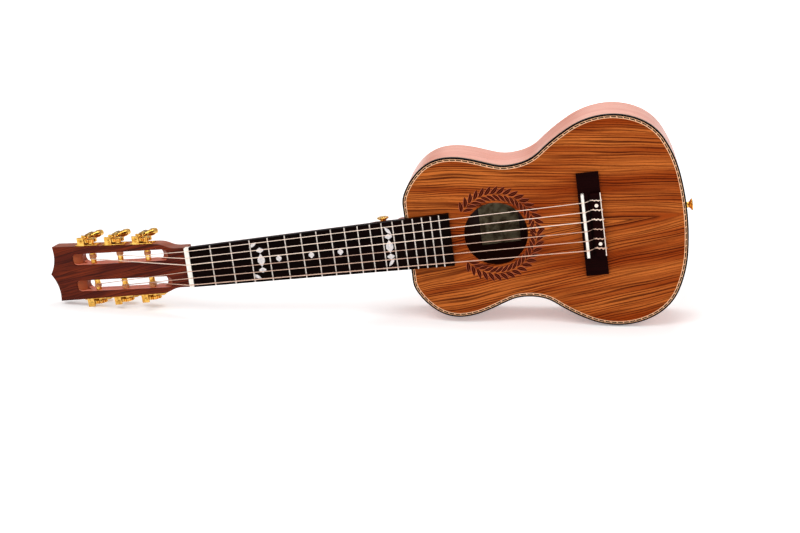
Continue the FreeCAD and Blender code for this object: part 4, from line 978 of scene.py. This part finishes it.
class OBJECT_OT_guitarlele_body(PieceOperator, bpy.types.Operator):
    """Sides, back, inner blocks, linings, braces and label"""
    bl_idname = "object.guitarlele_body"
    bl_label = "Sides, back and inner pieces"

    def execute(self, context):
        c = colours()
        # The side and back tones hold painted sheen as well as the wood's colour.
        tones = c.side_light_with_sheen, c.side_mid_with_sheen, c.side_dark_with_sheen
        side = wood("Side wood", *tones, spacing=4.0, wander=4.0, lines=0.45, gloss=0.12, roughness=0.3,
                    curved=True, touch=pale_line)
        for node in ("side_treble", "side_bass"):
            softened(node, side, 0.0, sharp=30.0)
        # The back's inner face gets painted shade.
        back = wood("Back wood", *tones, spacing=4.0, wander=5.0, lines=0.5, gloss=0.12, roughness=0.3,
                    matched=True, touch=painted_inside_shade)
        softened("back_plate", back, sizes().edge)
        bare = wood("Bare spruce", c.brace, shade(184, 146, 98), shade(150, 108, 66), spacing=1.6,
                    wander=1.5, lines=0.5, gloss=0.1, roughness=0.7)
        for node in ("neck_block", "tail_block", "top_lining", "back_lining", "top_braces", "back_braces"):
            dress(node, bare)
        dress("label", plain("Paper", c.paper, shade(104, 90, 66), scale=0.11, roughness=0.8, gloss=0.1))
        return {"FINISHED"}


class OBJECT_OT_guitarlele_neck(PieceOperator, bpy.types.Operator):
    """Neck, head and their facing"""
    bl_idname = "object.guitarlele_neck"
    bl_label = "Neck and head"

    def execute(self, context):
        c, s = colours(), sizes()
        # The head's slot walls and ends get painted highlight and shade.
        neck = wood("Neck wood", c.neck_light, c.neck_mid, c.neck_dark, spacing=2.4, wander=3.0,
                    lines=0.5, gloss=0.12, roughness=0.34, touch=slot_painted_light)
        softened("neck", neck, s.edge, sharp=40.0)
        softened("heel_cap", neck, s.edge)
        facing = wood("Head facing", shade(124, 46, 20), shade(84, 26, 14), shade(48, 12, 6), spacing=3.0,
                      wander=4.0, lines=0.8, gloss=0.08, roughness=0.3)
        softened("head_veneer", facing, s.fine_edge)
        return {"FINISHED"}


def leaf_sheet(start, end, width):
    """A flat leaf on the fretboard from one point to another: half its width is the sine of the way along."""
    u = np.linspace(0.01, 0.99, MARKER_ROWS)[:, None]
    v = np.linspace(-1.0, 1.0, LEAF_COLUMNS)[None, :]
    way = end - start
    aside = np.array([-way[1], way[0]]) / np.linalg.norm(way)
    flat = start + u[..., None] * way + (v * width / 2 * np.sin(math.pi * u))[..., None] * aside
    points = np.stack([flat[..., 0], np.full(flat.shape[:2], -MARKER_LIFT), flat[..., 1]], axis=-1)
    return points.reshape(-1, 3), grid_quads(MARKER_ROWS, LEAF_COLUMNS)


class OBJECT_OT_guitarlele_fretboard(PieceOperator, bpy.types.Operator):
    """Fretboard, frets, markers and nut"""
    bl_idname = "object.guitarlele_fretboard"
    bl_label = "Fretboard"

    def execute(self, context):
        c = colours()
        board = wood("Fretboard wood", c.board, shade(16, 4, 3), shade(3, 0, 0), spacing=1.8, wander=1.5,
                     lines=0.5, gloss=0.02, roughness=0.42)
        softened("fretboard", board, 0.0, merged=False)
        metal = plain("Fret metal", c.steel, shade(176, 166, 158), scale=0.8, roughness=0.25, metallic=1.0)
        softened("frets", metal, FRET_EDGE, segments=3)
        pearl = plain("Pearl", shade(240, 232, 226), shade(206, 204, 210), scale=0.5, roughness=0.24)
        dress("position_inlays", pearl)
        leaves = [leaf_sheet(np.array(start) * [1.0, side], np.array(end) * [1.0, side], OUTER_LEAF_WIDTH)
                  for start, end in OUTER_LEAVES for side in (1.0, -1.0)]
        make_piece("outer_markers", *joined(leaves), pearl, "pearl", closed=False)
        softened("nut", bone(), sizes().fine_edge)
        return {"FINISHED"}


class OBJECT_OT_guitarlele_bridge(PieceOperator, bpy.types.Operator):
    """Bridge, saddle, pale strip and dots"""
    bl_idname = "object.guitarlele_bridge"
    bl_label = "Bridge"

    def execute(self, context):
        s = sizes()
        dark = wood("Bridge wood", colours().bridge, shade(26, 4, 4), shade(10, 1, 1), spacing=1.6,
                    wander=2.0, lines=0.6, gloss=0.02, roughness=0.4)
        softened("bridge", dark, s.edge)
        softened("saddle", bone(), s.fine_edge)
        softened("bridge_trim", trim_material(), 0.0)
        return {"FINISHED"}


class OBJECT_OT_guitarlele_binding(PieceOperator, bpy.types.Operator):
    """Dark edge strip and the decorative strip inside it"""
    bl_idname = "object.guitarlele_binding"
    bl_label = "Edge strips"

    def execute(self, context):
        edge = plain("Edge strip", colours().binding, shade(16, 4, 4), scale=0.1, roughness=0.3, gloss=0.03)
        softened("top_binding", edge, sizes().fine_edge)
        outline, ways = body_outline(OUTLINE_SPACING)
        left = np.stack([-ways[:, 1], ways[:, 0]], axis=1)
        bottom = TOP_FACE + TOP_THICKNESS
        profile = np.array([(0.0, bottom), (0.0, TOP_FACE), (PURFLING_WIDTH, TOP_FACE),
                            (PURFLING_WIDTH, bottom)])
        inset = BINDING_WIDTH + profile[:, 0]
        flat = outline[:, None, :] + left[:, None, :] * inset[None, :, None]
        deep = np.broadcast_to(profile[None, :, 1], flat.shape[:2])
        points = np.stack([flat[..., 0], deep, flat[..., 1]], axis=-1)
        points = np.concatenate([points, points[:1]]).reshape(-1, 3)
        length = lengths_along(np.concatenate([outline, outline[:1]]))
        uv = np.stack([np.repeat(length, 4), np.tile(profile[:, 0], len(length))], axis=1)
        make_piece("purfling_strip", points, grid_quads(len(length), 4, wrap=True), purfling_material(),
                   "purfling", replaced=("top_purfling",), uv=uv, smooth=False)
        return {"FINISHED"}


class OBJECT_OT_guitarlele_wreath(PieceOperator, bpy.types.Operator):
    """Wreath of leaves round the soundhole"""
    bl_idname = "object.guitarlele_wreath"
    bl_label = "Wreath"

    def execute(self, context):
        s = sizes()
        length, width = s.leaf_length / MM, s.leaf_width / MM
        station = np.radians(np.linspace(*WREATH_ENDS, s.leaf_rows))
        side, out, turn = (grid.ravel() for grid in np.meshgrid([1.0, -1.0], [1.0, -1.0], station,
                                                                indexing="ij"))
        turn = turn - (out < 0) * math.radians(INNER_LEAF_LAG)
        radial = np.stack([np.cos(turn), side * np.sin(turn)], axis=1)
        ahead = np.stack([np.sin(turn), -side * np.cos(turn)], axis=1)
        tilt = math.radians(LEAF_TILT)
        way = math.cos(tilt) * ahead + out[:, None] * math.sin(tilt) * radial
        aside = np.stack([-way[:, 1], way[:, 0]], axis=1)
        foot = radial * s.wreath_radius / MM + out[:, None] * radial * LEAF_FOOT
        u = np.linspace(0.0, 1.0, LEAF_ROWS)[:, None]
        v = np.linspace(-1.0, 1.0, LEAF_COLUMNS)[None, :]
        half = width / 2 * np.sin(math.pi * u ** 0.85) ** 0.75
        share = np.where(out < 0, INNER_LEAF_SHARE, 1.0)[:, None, None]
        bow = LEAF_BOW * length * np.sin(math.pi * u)
        rise = LEAF_RISE * np.sin(math.pi * u) ** 0.5 * (1 - v ** 2)
        reach = length * u * np.ones_like(v)
        sweep = share * v * half - (out * side)[:, None, None] * bow
        foot, way, aside = (place[:, None, None, :] for place in (foot, way, aside))
        flat = foot + reach[..., None] * way + sweep[..., None] * aside
        depth = np.broadcast_to(TOP_FACE - WREATH_LIFT - rise, flat.shape[:3])
        points = np.stack([SOUNDHOLE_PLACE + flat[..., 0], depth, flat[..., 1]], axis=-1).reshape(-1, 3)
        leaf = LEAF_ROWS * LEAF_COLUMNS
        starts = np.arange(len(turn)) * leaf
        faces = (grid_quads(LEAF_ROWS, LEAF_COLUMNS) + starts[:, None, None]).reshape(-1, 4)
        uv = np.stack(np.broadcast_arrays(u, v), axis=-1).reshape(1, -1, 2)
        uv = np.broadcast_to(uv, (len(turn), leaf, 2)).reshape(-1, 2)
        make_piece("wreath", points, faces, leaf_material(), "top_wood", uv=uv, closed=False)
        return {"FINISHED"}


class OBJECT_OT_guitarlele_strings(PieceOperator, bpy.types.Operator):
    """Six strings with their tie loops, and their turns on the rollers"""
    bl_idname = "object.guitarlele_strings"
    bl_label = "Strings"

    def execute(self, context):
        c = colours()
        # The string colours carry a painted reflection of the wood.
        nylon_and_reflection = string_material("Treble string", c.nylon_and_reflection, 0.3, wound=False)
        wound = string_material("Bass string", c.silver_and_reflection, 0.35, metallic=0.6)
        turns = string_material("String turns", shade(226, 152, 98), 0.35)
        for number in range(1, STRINGS + 1):
            material = nylon_and_reflection if number <= STRINGS_PER_SIDE else wound
            radius = STRING_RADII[number]
            points, faces, uv = swept(bent(string_corners(number), radius + SEAT_GAP), radius, 12)
            make_piece("string_%d_wire" % number, points, faces, material, "string",
                       replaced=("string_%d" % number,), uv=uv)
            twist, faces, uv = swept(tie_twist(number), radius * TIE_THINNING, 10)
            make_piece("string_%d_tie" % number, twist, faces, material, "string", uv=uv)
            points, faces, uv = swept(winding_points(number, sizes().winding_turns), radius, 10)
            make_piece("winding_%d_wire" % number, in_machine(points, number), faces, turns, "string",
                       body="spool_%d" % number, replaced=("winding_%d" % number,), uv=uv)
        return {"FINISHED"}


def worm_shape():
    """A worm: a circle off its axis that turns as it goes, with its shaft through it."""
    y = np.linspace(-WORM_LENGTH / 2, WORM_LENGTH / 2, WORM_ROWS)[:, None]
    angle = round_angles(WORM_SIDES)[None, :]
    phase = FULL_TURN * (y + WORM_LENGTH / 2) / WORM_LEAD - math.pi * WORM_TURNS
    lift, size = (WORM_RADIUS - WORM_ROOT) / 2, (WORM_RADIUS + WORM_ROOT) / 2
    reach = lift * np.cos(angle - phase) + np.sqrt(size ** 2 - (lift * np.sin(angle - phase)) ** 2)
    points = np.stack([-WORM_DISTANCE + reach * np.cos(angle), y * np.ones_like(angle),
                       WORM_HEIGHT - reach * np.sin(angle)], axis=-1).reshape(-1, 3)
    start = -EAR_OUTSIDE - SHAFT_PROUD
    shaft, shaft_faces = revolved([(SHAFT_RADIUS - SHAFT_EDGE, start), (SHAFT_RADIUS, start + SHAFT_EDGE),
                                   (SHAFT_RADIUS, SHAFT_REACH)], 24)
    shaft = np.stack([shaft[:, 0] - WORM_DISTANCE, shaft[:, 2], shaft[:, 1] + WORM_HEIGHT], axis=1)
    return joined([(points, tube_faces(WORM_ROWS, WORM_SIDES)), (shaft, shaft_faces)])


def rounded(angles, power):
    """The cosine or sine of a rounded oblong."""
    return np.sign(angles) * np.abs(angles) ** power


def button_shape(length, thickness, height, turn):
    """A button of two lobes: rounded oblongs that swell from a round foot, with pinched and dished faces."""
    t = np.linspace(0, 1, BUTTON_ROWS)
    swell = np.clip(t / BUTTON_FOOT_SHARE, 0, 1)
    swell = swell * swell * (3 - 2 * swell)
    top = 1 - np.sqrt(np.clip(1 - (np.clip(t - BUTTON_CROWN_FROM, 0, 1) / 0.1402) ** 2, 0.0, 1))
    half, thin = (foot + (full / 2 - foot) * swell - BUTTON_CROWN_LOSS * top
                  for foot, full in zip(BUTTON_FOOT, (length, thickness)))
    waist = 1 - 0.12 * np.exp(-((t - 0.62) / 0.1) ** 2)
    angle = round_angles(BUTTON_SIDES)
    power = 2 / (2.0 + 1.2 * swell)[:, None]
    x = half[:, None] * rounded(np.cos(angle), power)
    z = (thin * waist)[:, None] * rounded(np.sin(angle), power)
    y = np.broadcast_to((t * height)[:, None], x.shape)
    middle = np.exp(-(x / BUTTON_CLEFT) ** 2) * swell[:, None]
    beside, above = np.abs(x) - LOBE_FROM_MIDDLE * length, y - LOBE_HEIGHT * height
    dish = np.exp(-(beside / 2.2) ** 2 - (above / 2.6) ** 2)
    z = z * (1 - 0.32 * middle - 0.35 * dish)
    y = y - 0.16 * height * middle * np.clip(t * 2 - 1, 0, 1)[:, None]
    points = np.stack([x, y, z], axis=-1).reshape(-1, 3) @ turned("Y", turn).T
    return points + [-WORM_DISTANCE, SHAFT_REACH, WORM_HEIGHT], tube_faces(BUTTON_ROWS, BUTTON_SIDES)


def screw_shape(radius, height, x, z):
    """A domed screw head along +Z with a slot sunk across it."""
    share = np.array([1.0, 1.0, 0.93, 0.8, 0.6, 0.4, 0.2, 0.04])
    level = np.array([-0.4, 0.35, 0.62, 0.8, 0.93, 0.98, 1.0, 1.0])
    points, faces = revolved(np.stack([share * radius, level * height], axis=1), 32)
    in_slot = (np.abs(points[:, 1]) < 0.2 * radius) & (points[:, 2] > 0.3 * height)
    points[:, 2] = np.where(in_slot, points[:, 2] - 0.45 * height, points[:, 2])
    return points + [x, 0.0, z], faces


def machine_piece(name, number, shape, body, replaced=()):
    """A plated piece of one string's tuning machine, from a shape in the machine's frame."""
    points, faces = shape
    make_piece(name % number, in_machine(points, number), faces, gold(), "plated_metal",
               body=body % number, replaced=[node % number for node in replaced])


class OBJECT_OT_guitarlele_machines(PieceOperator, bpy.types.Operator):
    """Plates, worms, worm wheels, buttons and screws of the tuning machines"""
    bl_idname = "object.guitarlele_machines"
    bl_label = "Tuning machines"

    def execute(self, context):
        s = sizes()
        softened("tuner_plates", gold(), s.fine_edge)
        button = s.button_length / MM, s.button_thickness / MM, s.button_height / MM
        screws = []
        for number in range(1, STRINGS + 1):
            _, side = machine_row(number)
            softened("roller_%d" % number, gold(), s.fine_edge / 2, body="spool_%d" % number)
            machine_piece("worm_%d_thread", number, worm_shape(), "tuner_%d", ["worm_%d"])
            machine_piece("button_%d_form", number, button_shape(*button, BUTTON_TURNS[side]), "tuner_%d",
                          ["button_%d"])
            screw = screw_shape(s.wheel_screw_radius / MM, WHEEL_SCREW_HEIGHT, 0.0, GEAR_TOP)
            machine_piece("wheel_screw_%d", number, screw, "spool_%d")
            for x in PLATE_SCREW_PLACES:
                points, faces = screw_shape(s.screw_radius / MM, PLATE_SCREW_HEIGHT, x, PLATE_THICKNESS)
                screws.append((in_machine(points, number), faces))
        make_piece("plate_screws", *joined(screws), gold(), "plated_metal")
        return {"FINISHED"}


class OBJECT_OT_guitarlele_strap_buttons(PieceOperator, bpy.types.Operator):
    """Strap buttons on tail and heel"""
    bl_idname = "object.guitarlele_strap_buttons"
    bl_label = "Strap buttons"

    def execute(self, context):
        rim, stem, base, top = STRAP_HEAD_RADIUS, STRAP_STEM_RADIUS, STRAP_BASE_RADIUS, STRAP_HEIGHT
        profile = [(base, 0.0), (base, 0.9), (base - 0.35, 1.2), (stem + 0.3, 1.25), (stem, 1.6), (stem, 3.6),
                   (stem + 0.4, 4.4), (rim - 1.3, 5.7), (rim - 0.3, 6.35), (rim, 6.75), (rim, 7.2),
                   (rim - 0.4, 7.7), (rim - 1.1, top - 0.05), (rim - 2.2, top - 0.3), (2.4, top - 0.4),
                   (2.1, top - 0.1), (1.4, top), (0.2, top)]
        points, faces = revolved(profile, 40)
        tail = points @ turned("Y", 90.0).T + [BODY_START + BODY_LENGTH, TOP_FACE + DEPTH_AT_TAIL / 2, 0.0]
        heel = points + [BODY_START - HEEL_STRAP_FROM_BODY, HEEL_STRAP_DEPTH, HEEL_STRAP_SEAT]
        make_piece("strap_button_pair", *joined([(tail, faces), (heel, faces)]), gold(), "plated_metal",
                   replaced=("strap_buttons",))
        return {"FINISHED"}


class OBJECT_OT_guitarlele_stage(PieceOperator, bpy.types.Operator):
    """Floor, soft lamps, white surround and camera"""
    bl_idname = "object.guitarlele_stage"
    bl_label = "Stage"

    def execute(self, context):
        scene = context.scene
        make_floor()
        make_world(scene)
        for name, settings in LAMPS.items():
            make_lamp(name, *settings)
        make_camera(scene)
        scene.view_settings.view_transform = "Standard"
        return {"FINISHED"}


def make_floor():
    """A wide floor that adds white to what the camera and mirrors see, so only shadows show."""
    reach = FLOOR_REACH
    mesh = bpy.data.meshes.new("floor")
    mesh.from_pydata([(-reach, -reach, 0), (reach, -reach, 0), (reach, reach, 0), (-reach, reach, 0)], [],
                     [(0, 1, 2, 3)])
    material, tree, shader = new_material("Pale floor")
    rays = put(tree, "LightPath").outputs
    seen = Wire(rays["Is Camera Ray"]).by("MAXIMUM", rays["Is Glossy Ray"])
    far = wire(tree, "VectorMath", {0: put(tree, "TexCoord").outputs["Object"]}, "Value", operation="LENGTH")
    fill(shader, {"Base Color": (*colours().floor, 1.0), "Roughness": 0.8, "Specular IOR Level": 0.1,
                  "Emission Color": WHITE, "Emission Strength": seen * far.ranged(0.45, 1.6, 0.3)})
    mesh.materials.append(material)
    linked("floor", mesh)


def make_world(scene):
    """White to the camera, softer as a light, and dark bands towards the front for mirrors."""
    world = bpy.data.worlds.new("Soft surround")
    world.use_nodes = True
    tree = world.node_tree
    tree.nodes.clear()
    rays = put(tree, "LightPath").outputs
    x, y, z = split(tree, put(tree, "TexCoord").outputs["Generated"])
    bands = (x * 8.0 + z * 9.0).by("SINE").ranged(-0.3, 0.3, 0.25)
    mirrored = (y + z * 0.6).ranged(-0.3, 0.6, 0.06) * bands
    strength = Wire(rays["Is Glossy Ray"]) * (mirrored - AMBIENT) + AMBIENT
    seen = Wire(rays["Is Camera Ray"]).by("MAXIMUM", rays["Is Transmission Ray"])
    back = put(tree, "Background", {"Color": WHITE, "Strength": strength.by("MAXIMUM", seen)})
    put(tree, "OutputWorld", {"Surface": back.outputs[0]})
    scene.world = world


def make_lamp(name, place, target, size, power):
    """A square area lamp that faces a target."""
    lamp = bpy.data.lights.new(name, "AREA")
    lamp.size = size
    lamp.energy = power
    piece = linked(name, lamp)
    way = Vector(target) - Vector(place)
    piece.rotation_euler = way.to_track_quat("-Z", "Y").to_euler()
    piece.location = place


def make_camera(scene):
    """The photograph's viewpoint: turned about depth, yawed, then raised, at one distance from the nut."""
    (ct, st), (cy, sy), (ce, se) = ((math.cos(angle), math.sin(angle))
                                    for angle in (CAMERA_ROLL, CAMERA_YAW, CAMERA_RISE))
    roll = np.array([[ct, -st, 0], [st, ct, 0], [0, 0, 1]])
    yaw = np.array([[cy, 0, sy], [0, 1, 0], [-sy, 0, cy]])
    rise = np.array([[1, 0, 0], [0, ce, se], [0, -se, ce]])
    view = rise @ yaw @ roll
    centre = -view.T @ np.array([CAMERA_ACROSS, CAMERA_UP, CAMERA_DISTANCE])

    order = [0, 2, 1]
    right, up, ahead = (TURN @ row[order] for row in view)
    eye = standing(centre[order])
    camera = bpy.data.cameras.new("camera")
    camera.sensor_width = SENSOR_WIDTH
    camera.lens = CAMERA_DISTANCE * CAMERA_LENS_SHARE / PHOTO_WIDTH * SENSOR_WIDTH
    camera.clip_end = 100.0
    piece = linked("camera", camera)
    matrix = np.eye(4)
    matrix[:3, 0], matrix[:3, 1], matrix[:3, 2], matrix[:3, 3] = right, up, -ahead, eye
    piece.matrix_world = Matrix(matrix.tolist())
    scene.camera = piece


class VIEW3D_PT_guitarlele(bpy.types.Panel):
    """Sizes, colours and pieces of the guitarlele"""
    bl_idname = "VIEW3D_PT_guitarlele"
    bl_label = "Guitarlele"
    bl_space_type = "VIEW_3D"
    bl_region_type = "UI"
    bl_category = "Guitarlele"

    def draw(self, context):
        for group in (context.scene.guitarlele_sizes, context.scene.guitarlele_colours):
            for name in group.bl_rna.properties.keys():
                if name not in ("rna_type", "name"):
                    self.layout.prop(group, name)
        for piece in PIECES:
            self.layout.operator(piece.bl_idname)


PIECES = (OBJECT_OT_guitarlele_top, OBJECT_OT_guitarlele_body, OBJECT_OT_guitarlele_neck,
          OBJECT_OT_guitarlele_fretboard, OBJECT_OT_guitarlele_bridge, OBJECT_OT_guitarlele_binding,
          OBJECT_OT_guitarlele_wreath, OBJECT_OT_guitarlele_strings, OBJECT_OT_guitarlele_machines,
          OBJECT_OT_guitarlele_strap_buttons, OBJECT_OT_guitarlele_stage)
CLASSES = (GuitarleleSizes, GuitarleleColours, *PIECES, VIEW3D_PT_guitarlele)


def register():
    for item in CLASSES:
        bpy.utils.register_class(item)
    bpy.types.Scene.guitarlele_sizes = PointerProperty(type=GuitarleleSizes)
    bpy.types.Scene.guitarlele_colours = PointerProperty(type=GuitarleleColours)


def unregister():
    del bpy.types.Scene.guitarlele_colours
    del bpy.types.Scene.guitarlele_sizes
    for item in reversed(CLASSES):
        bpy.utils.unregister_class(item)


def main():
    """Registers the add-on and makes every piece in order."""
    register()
    for piece in PIECES:
        getattr(bpy.ops.object, piece.bl_idname.split(".")[1])()


if __name__ == "__main__":
    main()
